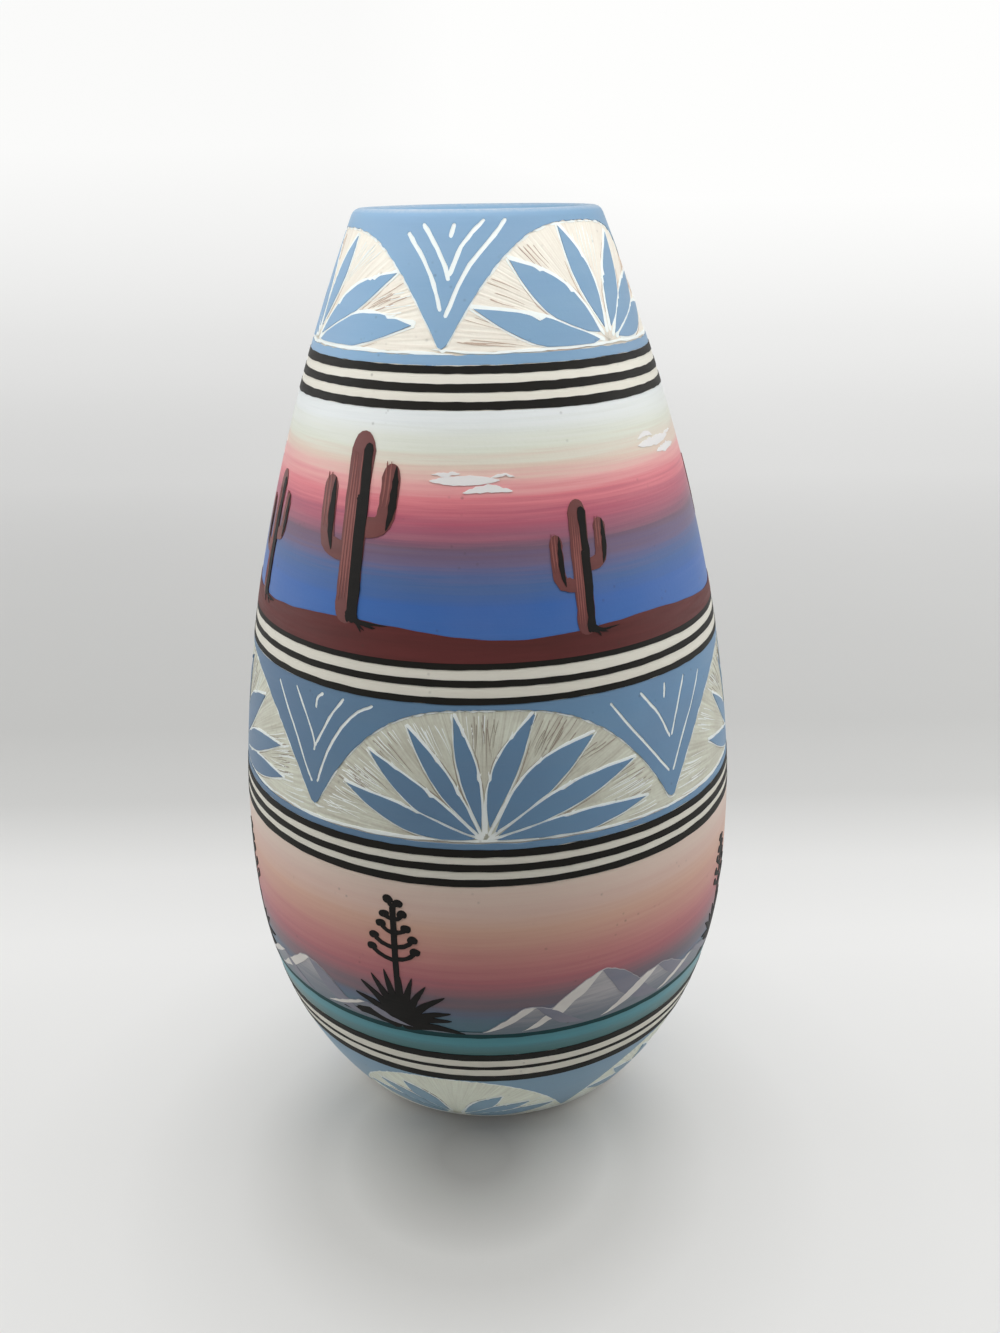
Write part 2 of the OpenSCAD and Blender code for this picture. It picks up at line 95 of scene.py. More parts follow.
class Tip(Enum):
    """How a brush stroke ends."""

    ROUND = "round"
    POINTED = "pointed"
    TAPERED = "tapered"

    def share(self, u: float, end: float) -> float:
        """Share of the full width at a place along a stroke.

        Args:
            u: Place along the stroke, from 0 to 1.
            end: Length of a round end, as a share of the stroke.

        Returns:
            The share, from 0 to 1.
        """
        if self is Tip.POINTED:
            return math.sin(math.pi * u) ** 0.7
        near = min(u, 1.0 - u) if self is Tip.ROUND else u
        rounded = math.sqrt(max(0.0, 1.0 - (1.0 - min(near / end, 1.0)) ** 2))
        return rounded if self is Tip.ROUND else rounded * (1.0 - u) ** 0.6


def mix(a: float, b: float, share: float) -> float:
    """Value at a share of the way from a to b."""
    return a + (b - a) * share


def ease(value: float, low: float, high: float) -> float:
    """Smooth step from 0 at low to 1 at high."""
    share = min(max((value - low) / (high - low), 0.0), 1.0)
    return share * share * (3.0 - 2.0 * share)


def ring_noise(azimuth: float, waves: float, seed: float) -> float:
    """Noise round the vase that closes on itself.

    Args:
        azimuth: Degrees round the vase.
        waves: Radius of the circle that is walked through the noise, about a sixth of the waves.
        seed: Which noise.

    Returns:
        A value from about -1 to 1.
    """
    a = math.radians(azimuth)
    return noise.noise(Vector((waves * math.cos(a), waves * math.sin(a), seed)))


def polar(r: float, a: float, z: float) -> Vector:
    """Point in metres at a radius, an angle in radians round the vase and a height."""
    return Vector((r * math.sin(a), -r * math.cos(a), z)) * MM


def spline(points: Sequence[Flat], share: float) -> Flat:
    """Point on a smooth curve through some points.

    Args:
        points: Two or more points of a drawing.
        share: Place along the curve, from 0 to 1.

    Returns:
        The point there.
    """
    spans = len(points) - 1
    k = min(int(share * spans), spans - 1)
    t = share * spans - k
    p1, p2 = points[k], points[k + 1]
    p0 = points[k - 1] if k else (2 * p1[0] - p2[0], 2 * p1[1] - p2[1])
    p3 = points[k + 2] if k + 2 <= spans else (2 * p2[0] - p1[0], 2 * p2[1] - p1[1])
    return tuple(
        0.5 * (2 * b + (c - a) * t + (2 * a - 5 * b + 4 * c - d) * t * t + (3 * b - a - 3 * c + d) * t ** 3)
        for a, b, c, d in zip(p0, p1, p2, p3)
    )


class Bench:
    """Modelling moves, each made with Blender's own operators."""

    @staticmethod
    def pick(*pieces: Piece) -> None:
        """Selects these pieces alone and makes the first one active.

        Args:
            pieces: The pieces.
        """
        bpy.ops.object.select_all(action="DESELECT")
        for piece in pieces:
            piece.select_set(True)
        bpy.context.view_layer.objects.active = pieces[0]

    @staticmethod
    def grid(name: str, columns: int, rows: int) -> Piece:
        """Adds a flat grid of a unit's size, to be laid on the vase.

        Args:
            name: Name of the piece.
            columns: Faces along X.
            rows: Faces along Y.

        Returns:
            The new piece.
        """
        bpy.ops.object.select_all(action="DESELECT")
        bpy.ops.mesh.primitive_grid_add(x_subdivisions=columns, y_subdivisions=rows, size=1.0)
        return Bench.label(bpy.context.object, name)

    @staticmethod
    def label(piece: Piece, name: str) -> Piece:
        """Names a piece and its mesh."""
        piece.name = piece.data.name = name
        return piece

    @staticmethod
    def lay(piece: Piece, place: Callable[[float, float], Vector]) -> Piece:
        """Moves each point of a unit grid to its place.

        Args:
            piece: The grid.
            place: Gives the place of a point from its shares of the grid's width and height.

        Returns:
            The same piece.
        """
        for vertex in piece.data.vertices:
            vertex.co = place(vertex.co.x + 0.5, vertex.co.y + 0.5)
        piece.data.update()
        return piece

    @staticmethod
    def copy(template: Piece) -> Piece:
        """Copies a piece with a mesh of its own.

        Args:
            template: The piece to copy.

        Returns:
            The copy.
        """
        piece = template.copy()
        piece.data = template.data.copy()
        bpy.context.collection.objects.link(piece)
        return piece

    @staticmethod
    def weld(piece: Piece, gap: float = 0.004) -> Piece:
        """Merges points that lie close together, such as those of a seam or a sharp tip.

        Args:
            piece: The piece.
            gap: How close they lie, in millimetres.

        Returns:
            The same piece.
        """
        Bench.pick(piece)
        bpy.ops.object.mode_set(mode="EDIT")
        bpy.ops.mesh.select_all(action="SELECT")
        bpy.ops.mesh.remove_doubles(threshold=gap * MM)
        bpy.ops.object.mode_set(mode="OBJECT")
        return piece

    @staticmethod
    def thicken(piece: Piece, depth: float) -> Piece:
        """Gives a sheet its thickness, inwards from its face.

        Args:
            piece: The sheet.
            depth: Its thickness.

        Returns:
            The same piece.
        """
        modifier = piece.modifiers.new("Thickness", "SOLIDIFY")
        modifier.thickness = depth * MM
        modifier.offset = -1.0
        Bench.apply(piece, modifier)
        return piece

    @staticmethod
    def apply(piece: Piece, modifier: bpy.types.Modifier) -> None:
        """Applies a modifier to the piece that has it."""
        Bench.pick(piece)
        bpy.ops.object.modifier_apply(modifier=modifier.name)

    @staticmethod
    def smooth(piece: Piece, angle: float = 38.0) -> Piece:
        """Shades a piece smooth, apart from its sharp edges.

        Args:
            piece: The piece.
            angle: Degrees past which an edge is sharp.

        Returns:
            The same piece.
        """
        Bench.pick(piece)
        bpy.ops.object.shade_smooth_by_angle(angle=math.radians(angle))
        return piece

    @staticmethod
    def coat(piece: Piece, depth: float, angle: float = 38.0) -> Piece:
        """Closes the seam of a sheet, gives it its thickness and shades it smooth."""
        return Bench.smooth(Bench.thicken(Bench.weld(piece), depth), angle)

    @staticmethod
    def join(pieces: Sequence[Piece], name: str) -> Piece:
        """Joins several pieces into one.

        Args:
            pieces: The pieces.
            name: Name of the new piece.

        Returns:
            The new piece.
        """
        Bench.pick(*pieces)
        bpy.ops.object.join()
        return Bench.label(pieces[0], name)

    @staticmethod
    def carve(piece: Piece, cutter: Piece) -> Piece:
        """Cuts one piece out of another and throws the cutter away.

        Args:
            piece: The piece that is cut.
            cutter: What is cut out of it.

        Returns:
            The cut piece.
        """
        modifier = piece.modifiers.new("Cut", "BOOLEAN")
        modifier.operation = "DIFFERENCE"
        modifier.solver = "EXACT"
        modifier.use_self = True
        modifier.object = cutter
        Bench.apply(piece, modifier)
        Bench.scrap(cutter)
        return piece

    @staticmethod
    def scrap(piece: Piece) -> None:
        """Deletes a piece with its mesh."""
        bpy.data.meshes.remove(piece.data, do_unlink=True)


@dataclass(frozen=True)
class Wall:
    """Outside face of the clay, a hair inside the CAD wall at the belly."""

    height: float = 254.0
    belly_r: float = 71.97
    belly_z: float = 85.0
    foot_r: float = 47.5
    mouth_r: float = 31.75
    lower_curve: float = 2.75
    upper_curve: float = 1.76
    thick: float = 5.0

    def radius(self, z: float) -> float:
        """Radius of the clay at a height.

        Args:
            z: The height.

        Returns:
            The radius.
        """
        if z < self.belly_z:
            under = 1.0 - z / self.belly_z
            return self.belly_r - (self.belly_r - self.foot_r) * under ** self.lower_curve
        over = (z - self.belly_z) / (self.height - self.belly_z)
        return self.belly_r - (self.belly_r - self.mouth_r) * over ** self.upper_curve

    def slope(self, z: float) -> float:
        """Change of the radius with height."""
        step = 0.05
        return (self.radius(z + step) - self.radius(z - step)) / (2.0 * step)

    def point(self, azimuth: float, z: float, lift: float = 0.0) -> Vector:
        """Places a point of the painting.

        Args:
            azimuth: Degrees round the vase.
            z: Level of the painting.
            lift: How far the point stands out from the clay.

        Returns:
            The point in metres.
        """
        slope = self.slope(z)
        stretch = math.hypot(1.0, slope)
        r = self.radius(z) + lift / stretch
        return polar(r, math.radians(azimuth), z - lift * slope / stretch)

    @property
    def lip_lean(self) -> float:
        """Lean of the wall where it meets the lip, in radians."""
        return math.atan(-self.slope(self.height))

    @property
    def lip_z(self) -> float:
        """Height where the outside face meets the round lip."""
        return self.height - self.thick / 2.0 * (1.0 - math.sin(self.lip_lean))

    def lip(self, sweep: float, lift: float = 0.0) -> Flat:
        """Finds a point of the round lip.

        Args:
            sweep: Degrees from the outside face, over the lip.
            lift: How far the point stands out from the clay.

        Returns:
            Its radius and height.
        """
        r = self.thick / 2.0
        angle = self.lip_lean + math.radians(sweep)
        centre = self.radius(self.lip_z) - r * math.cos(self.lip_lean)
        return (
            centre + (r + lift) * math.cos(angle),
            self.height - r + (r + lift) * math.sin(angle),
        )

    def bore(self, z: float) -> float:
        """Inside radius of the clay at a height."""
        return self.radius(z) - self.thick * math.hypot(1.0, self.slope(z))

    def ring(
        self, piece: Piece, level: Callable[[float, float], float], lift: float, depth: float,
    ) -> Piece:
        """Lays a grid right round the vase as a coat.

        Args:
            piece: The grid.
            level: Gives the level of a point from its azimuth and its share of the way up.
            lift: How far the coat's face stands out from the clay.
            depth: Its thickness.

        Returns:
            The same piece.
        """

        def place(u: float, v: float) -> Vector:
            """Place of a point, from its shares of the way round and up."""
            azimuth = 360.0 * u - 180.0
            return self.point(azimuth, level(azimuth, v), lift)

        return Bench.coat(Bench.lay(piece, place), depth)


@dataclass(frozen=True)
class Canvas:
    """A flat drawing place on the wall, with x to the right and y up from its origin."""

    wall: Wall
    azimuth: float
    z: float

    def spot(self, x: float, y: float) -> Flat:
        """Azimuth and level of a point of the drawing."""
        z = self.z + y
        return self.azimuth + math.degrees(x / self.wall.radius(z)), z

    def at(self, x: float, y: float, lift: float) -> Vector:
        """Place of a point of the drawing, in metres."""
        return self.wall.point(*self.spot(x, y), lift)


class Brush:
    """Lays down strokes, each a copy of one flat strip, and joins them into a piece."""

    def __init__(self, columns: int = 16, rows: int = 2) -> None:
        """Makes the strip that every stroke is copied from."""
        self.strip = Bench.grid("strip", columns, rows)
        self.strokes: list[Piece] = []

    def stroke(
        self,
        canvas: Canvas,
        points: Sequence[Flat],
        width: float,
        layer: float,
        tip: Tip = Tip.ROUND,
        shake: float = 0.06,
        crown: float = 0.0,
    ) -> None:
        """Paints or scratches one stroke.

        Args:
            canvas: Where it is drawn.
            points: Points that it goes through.
            width: Its greatest width.
            layer: How far its face stands out from the clay.
            tip: How it ends.
            shake: How far its edges stray.
            crown: How far its middle stands over its edges.
        """
        length = sum(math.dist(a, b) for a, b in zip(points, points[1:]))
        end = min(0.5, 0.6 * width / length)
        seed = 7.3 * len(self.strokes) + canvas.azimuth

        def place(u: float, v: float) -> Vector:
            """Places a point of the strip.

            Args:
                u: Share of the way along the stroke.
                v: Share of the way across it.

            Returns:
                The point in metres.
            """
            share = 0.5 - 0.5 * math.cos(math.pi * u)
            x, y = spline(points, share)
            ahead = spline(points, min(share + 0.01, 1.0))
            behind = spline(points, max(share - 0.01, 0.0))
            along = math.atan2(ahead[1] - behind[1], ahead[0] - behind[0])
            side = 2.0 * v - 1.0
            out = tip.share(share, end)
            half = side * 0.5 * width * out
            half += shake * out * noise.noise(Vector((share * length * 0.9, 3.0 * side, seed)))
            lift = layer + crown * (1.0 - side * side) * out
            return canvas.at(x - half * math.sin(along), y + half * math.cos(along), lift)

        self.strokes.append(Bench.lay(Bench.copy(self.strip), place))

    def finish(self, name: str, depth: float) -> Piece:
        """Joins the strokes into one piece of a given depth and puts the strip away."""
        Bench.scrap(self.strip)
        return Bench.coat(Bench.join(self.strokes, name), depth)


def linear(colour: Colour) -> tuple[float, float, float, float]:
    """Linear colour of a colour that is written in 0 to 255 steps of sRGB."""
    parts = [c / 255.0 for c in colour]
    return (*[p / 12.92 if p <= 0.04045 else ((p + 0.055) / 1.055) ** 2.4 for p in parts], 1.0)


class Graph:
    """A node tree and short ways to add to it."""

    def __init__(self, tree: bpy.types.NodeTree) -> None:
        """Starts on a tree."""
        self.tree = tree

    def node(self, kind: str, **settings: object) -> Node:
        """Adds a shader node.

        Args:
            kind: Its kind.
            settings: Some of its settings.

        Returns:
            The node.
        """
        node = self.tree.nodes.new("ShaderNode" + kind)
        for key, value in settings.items():
            setattr(node, key, value)
        return node

    def feed(self, socket: Socket, value: object) -> None:
        """Links a socket to an output, or sets it to a value.

        Args:
            socket: The socket.
            value: The output or the value.
        """
        if isinstance(value, Socket):
            self.tree.links.new(value, socket)
        else:
            socket.default_value = value

    def fill(self, node: Node, *values: object, **named: object) -> Node:
        """Feeds some inputs of a node.

        Args:
            node: The node.
            values: What its first inputs get, in their order.
            named: What inputs get by their names.

        Returns:
            The same node.
        """
        for key, value in (*enumerate(values), *named.items()):
            self.feed(node.inputs[key], value)
        return node

    def where(self) -> Socket:
        """Object coordinates of a piece."""
        return self.node("TexCoord").outputs["Object"]

    def axes(self, vector: Socket) -> bpy.types.NodeOutputs:
        """Parts of a vector, by the names of the axes."""
        return self.fill(self.node("SeparateXYZ"), vector).outputs

    def math(self, operation: str, *values: object, clamp: bool = False) -> Socket:
        """Adds a Math node on one to three values."""
        return self.fill(self.node("Math", operation=operation, use_clamp=clamp), *values).outputs[0]

    def blend(self, share: object, first: object, second: object, mode: str = "MIX") -> Socket:
        """Adds a Mix node on two colours.

        Args:
            share: Share of the second colour.
            first: The first colour.
            second: The second colour.
            mode: How they are mixed.

        Returns:
            The mixed colour.
        """
        node = self.node("Mix", data_type="RGBA", blend_type=mode)
        for index, value in ((0, share), (6, first), (7, second)):
            self.feed(node.inputs[index], value)
        return node.outputs[2]

    def spread(
        self, value: Socket, low: float, high: float, to_low: float = 0.0, to_high: float = 1.0,
    ) -> Socket:
        """Maps a range of a value onto another, held at its ends."""
        return self.fill(self.node("MapRange"), value, low, high, to_low, to_high).outputs[0]

    def cloud(self, vector: Socket, scale: object, detail: float = 3.0, rough: float = 0.55) -> Socket:
        """Adds a Noise texture."""
        node = self.fill(self.node("TexNoise"), Vector=vector, Scale=scale, Detail=detail, Roughness=rough)
        return node.outputs["Fac"]

    def dots(self, vector: Socket, scale: object) -> Socket:
        """Adds a Voronoi texture and gives the distance from its dots."""
        return self.fill(self.node("TexVoronoi"), Vector=vector, Scale=scale).outputs["Distance"]

    def bump(self, height: Socket, strength: float, distance: float) -> Socket:
        """Adds a Bump node, with its distance in millimetres."""
        node = self.fill(self.node("Bump"), Height=height, Strength=strength, Distance=distance * MM)
        return node.outputs["Normal"]

    def group(self, tree: bpy.types.NodeTree, **values: object) -> Node:
        """Places a node group with its own values."""
        return self.fill(self.node("Group", node_tree=tree), **values)


class Effects:
    """Node groups that more than one finish uses, each built once."""

    @staticmethod
    def start(
        name: str, inputs: dict[str, float], outputs: Sequence[str],
    ) -> tuple[Graph, Node, Node]:
        """Starts a group.

        Args:
            name: Name of the group.
            inputs: Its number inputs and what they are at first.
            outputs: Its number outputs.

        Returns:
            The group's graph, its input node and its output node.
        """
        tree = bpy.data.node_groups.new(name, "ShaderNodeTree")
        for key, value in inputs.items():
            socket = tree.interface.new_socket(key, in_out="INPUT", socket_type="NodeSocketFloat")
            socket.default_value = value
        for key in outputs:
            tree.interface.new_socket(key, in_out="OUTPUT", socket_type="NodeSocketFloat")
        return Graph(tree), tree.nodes.new("NodeGroupInput"), tree.nodes.new("NodeGroupOutput")

    @staticmethod
    def brushwork() -> bpy.types.NodeTree:
        """Builds the streaks that a brush leaves round a turning vase.

        Returns:
            The group: Tone is its broad streaks and Fine its single hairs.
        """
        name = "Brushwork"
        if name in bpy.data.node_groups:
            return bpy.data.node_groups[name]
        inputs = {"Around": 14.0, "Up": 260.0, "Shift": 0.0}
        graph, start, end = Effects.start(name, inputs, ("Tone", "Fine"))
        size, shift = graph.node("CombineXYZ"), graph.node("CombineXYZ")
        graph.fill(size, *(start.outputs[key] for key in ("Around", "Around", "Up")))
        graph.fill(shift, Z=start.outputs["Shift"])
        place = graph.node("VectorMath", operation="MULTIPLY_ADD")
        graph.fill(place, graph.where(), size.outputs[0], shift.outputs[0])
        tone = graph.cloud(place.outputs[0], 1.0, 3.0, 0.6)
        fine = graph.cloud(place.outputs[0], 4.2, 4.0, 0.65)
        graph.fill(end, Tone=graph.spread(tone, 0.28, 0.72), Fine=graph.spread(fine, 0.25, 0.75))
        return graph.tree

    @staticmethod
    def grain() -> bpy.types.NodeTree:
        """Builds the grain of matt paint and bare clay.

        Returns:
            The group: Speck is its dark flecks, Height the tooth of the face and Cloud its soft clouds.
        """
        name = "Grain"
        if name in bpy.data.node_groups:
            return bpy.data.node_groups[name]
        graph, start, end = Effects.start(name, {"Size": 900.0}, ("Speck", "Height", "Cloud"))
        where = graph.where()
        size = start.outputs["Size"]
        shares = (0.11, 0.42, 0.03)
        rare_size, dot_size, cloud_size = (graph.math("MULTIPLY", size, share) for share in shares)
        rare = graph.spread(graph.cloud(where, rare_size, 2.0, 0.5), 0.57, 0.68)
        near = graph.spread(graph.dots(where, dot_size), 0.2, 0.06)
        cloud = graph.spread(graph.cloud(where, cloud_size), 0.3, 0.7)
        tooth = graph.cloud(where, size, 4.0, 0.6)
        graph.fill(end, Speck=graph.math("MULTIPLY", near, rare), Height=tooth, Cloud=cloud)
        return graph.tree


@dataclass(frozen=True)
class Finish:
    """A finish of one colour; other finishes change how the colour is found.

    Attributes:
        colour: Main colour.
        second: Colour of its broad streaks.
        roughness: Middle of its roughness.
        streak: Share of the streaks.
        around: Scale of the streaks round the vase.
        up: Scale of the streaks up the vase.
        relief: Strength of the bump.
        flecks: Share of the flecks.
        stain: Colour of its soft clouds.
        mottle: Share of the clouds.
        sheen: Weight of the sheen.
        gloss: Level of the gloss.
        turn: Painted side light: how much lighter the colour is made on the +X side, as a share.
        side_light_reach: How far out along X that painted side light is fully reached, in millimetres.
        grain_size: Scale of the grain.
        fleck: Colour of the flecks.
        rough_stray: How far the roughness strays.
        tooth_h: Depth of the tooth, in millimetres.
        sheen_rough: Roughness of the sheen.
    """

    name: str
    colour: Colour
    second: Colour
    roughness: float = 0.62
    streak: float = 0.55
    around: float = 14.0
    up: float = 260.0
    relief: float = 0.25
    flecks: float = 0.35
    stain: Colour = (120, 120, 120)
    mottle: float = 0.0
    sheen: float = 0.25
    gloss: float = 0.4
    turn: float = 0.0
    side_light_reach: float = 40.0
    grain_size: float = 900.0
    fleck: Colour = (58, 50, 44)
    rough_stray: float = 0.07
    tooth_h: float = 0.12
    sheen_rough: float = 0.4

    def tint(self, graph: Graph, brush: Node, grain: Node) -> Socket:
        """Colour over the surface.

        Args:
            graph: The material's graph.
            brush: The placed brushwork group.
            grain: The placed grain group.

        Returns:
            The colour.
        """
        share = graph.math("MULTIPLY", brush.outputs["Tone"], self.streak)
        tint = graph.blend(share, linear(self.colour), linear(self.second))
        cloud = graph.math("MULTIPLY", grain.outputs["Cloud"], self.mottle)
        return graph.blend(cloud, tint, linear(self.stain))

    def height(self, graph: Graph, brush: Node, grain: Node) -> Socket:
        """Relief over the surface, for the bump, from the same nodes as the colour."""
        return graph.math("MULTIPLY_ADD", brush.outputs["Fine"], 0.6, grain.outputs["Height"])

    def material(self) -> bpy.types.Material:
        """Builds the material, or finds it if it is built already.

        Returns:
            The material.
        """
        if self.name in bpy.data.materials:
            return bpy.data.materials[self.name]
        material = bpy.data.materials.new(self.name)
        material.use_nodes = True
        graph = Graph(material.node_tree)
        shader = material.node_tree.nodes["Principled BSDF"]
        shift = float(sum(map(ord, self.name)) % 97)
        brush = graph.group(Effects.brushwork(), Around=self.around, Up=self.up, Shift=shift)
        grain = graph.group(Effects.grain(), Size=self.grain_size)
        tint = self.tint(graph, brush, grain)
        # Painted side light: the colour is made lighter towards one side along X and darker towards the
        # other.
        if self.turn:
            x, side = graph.axes(graph.where())["X"], self.side_light_reach * MM
            tone = graph.spread(x, -side, side, 1.0 - self.turn, 1.0 + self.turn)
            tint = graph.blend(1.0, tint, tone, "MULTIPLY")
        dark = graph.math("MULTIPLY", grain.outputs["Speck"], self.flecks)
        least, most = self.roughness - self.rough_stray, self.roughness + self.rough_stray
        graph.fill(shader, **{
            "Base Color": graph.blend(dark, tint, linear(self.fleck)),
            "Roughness": graph.spread(brush.outputs["Fine"], 0.0, 1.0, least, most),
            "Normal": graph.bump(self.height(graph, brush, grain), self.relief, self.tooth_h),
            "Specular IOR Level": self.gloss,
            "Sheen Weight": self.sheen,
            "Sheen Roughness": self.sheen_rough,
        })
        return material

    def dress(self, piece: Piece) -> None:
        """Gives the finish to a piece."""
        piece.data.materials.clear()
        piece.data.materials.append(self.material())


@dataclass(frozen=True)
class SkyFinish(Finish):
    """Colours blended into each other up the vase, as by a wide brush on a turning wheel.

    Attributes:
        stops: Levels in millimetres, and the colour at each.
        drift: How far the levels stray, in millimetres.
        calm: Share of the streaks that is left at the foot.
    """

    stops: tuple[tuple[float, Colour], ...] = ()
    drift: float = 3.0
    calm: float = 0.15

    def tint(self, graph: Graph, brush: Node, grain: Node) -> Socket:
        """Colour at the level, which strays up and down with the brushwork.

        Args:
            graph: The material's graph.
            brush: The placed brushwork group.
            grain: The placed grain group.

        Returns:
            The colour.
        """
        level = graph.axes(graph.where())["Z"]
        for key, far in (("Tone", self.drift * MM), ("Fine", 0.5 * self.drift * MM)):
            stray = graph.math("MULTIPLY_ADD", brush.outputs[key], far, -0.5 * far)
            level = graph.math("ADD", level, stray)
        low, high = self.stops[0][0], self.stops[-1][0]
        ramp = graph.node("ValToRGB")
        graph.feed(ramp.inputs[0], graph.spread(level, low * MM, high * MM))
        elements = ramp.color_ramp.elements
        for index, (z, colour) in enumerate(self.stops):
            position = (z - low) / (high - low)
            if 0 < index < len(self.stops) - 1:
                elements.new(position)
            elements[index].position = position
            elements[index].color = linear(colour)
        cloud = graph.math("MULTIPLY", grain.outputs["Cloud"], self.mottle)
        tint = graph.blend(cloud, ramp.outputs[0], linear(self.stain))
        lively = graph.spread(level, mix(low, high, 0.2) * MM, mix(low, high, 0.5) * MM, self.calm, 1.0)
        for colour, none, full in ((self.colour, 0.35, 0.8), (self.second, 0.55, 0.15)):
            hair = graph.spread(brush.outputs["Fine"], none, full, 0.0, self.streak)
            tint = graph.blend(graph.math("MULTIPLY", hair, lively), tint, linear(colour))
        return tint


@dataclass(frozen=True)
class EtchedFinish(Finish):
    """Clay laid bare by close scratches: fresh where a stroke went deep, dull between the strokes."""

    roughness: float = 0.9
    relief: float = 0.5

    def tint(self, graph: Graph, brush: Node, grain: Node) -> Socket:
        """Colour from the strokes that the mesh carries.

        Args:
            graph: The material's graph.
            brush: The placed brushwork group.
            grain: The placed grain group.

        Returns:
            The colour.
        """
        stroke = graph.node("Attribute", attribute_name="stroke").outputs["Fac"]
        share = graph.math("SUBTRACT", stroke, 0.25)
        share = graph.math("MULTIPLY_ADD", grain.outputs["Height"], 0.5, share)
        share = graph.math("MULTIPLY_ADD", grain.outputs["Cloud"], 0.16, share, clamp=True)
        return graph.blend(share, linear(self.second), linear(self.colour))

    def height(self, graph: Graph, brush: Node, grain: Node) -> Socket:
        """Relief of the scratches and the clay's own tooth."""
        stroke = graph.node("Attribute", attribute_name="stroke").outputs["Fac"]
        return graph.math("MULTIPLY_ADD", stroke, -0.8, grain.outputs["Height"])


@dataclass(frozen=True)
class ClayFinish(Finish):
    """Bare fired clay."""

    roughness: float = 0.9

    def tint(self, graph: Graph, brush: Node, grain: Node) -> Socket:
        """Colour with soft clouds in it."""
        share = graph.math("MULTIPLY_ADD", grain.outputs["Height"], 0.4, grain.outputs["Cloud"])
        return graph.blend(graph.math("MULTIPLY", share, 0.6), linear(self.colour), linear(self.second))


@dataclass(frozen=True)
class LipFinish(Finish):
    """Brushed paint over the lip, paler in patches along its top."""

    bare: Colour = (226, 222, 212)
    pale_top: Flat = (253.3, 254.2)

    def tint(self, graph: Graph, brush: Node, grain: Node) -> Socket:
        """Colour of the paint, mixed in patches toward a pale clay colour along the top of the lip.

        Args:
            graph: The material's graph.
            brush: The placed brushwork group.
            grain: The placed grain group.

        Returns:
            The colour.
        """
        high = graph.spread(graph.axes(graph.where())["Z"], *(z * MM for z in self.pale_top))
        tooth = graph.math("MULTIPLY_ADD", grain.outputs["Cloud"], 0.25, grain.outputs["Height"])
        pale_share = graph.math("MULTIPLY", high, graph.spread(tooth, 0.45, 0.95, 0.1, 0.45))
        return graph.blend(pale_share, super().tint(graph, brush, grain), linear(self.bare))


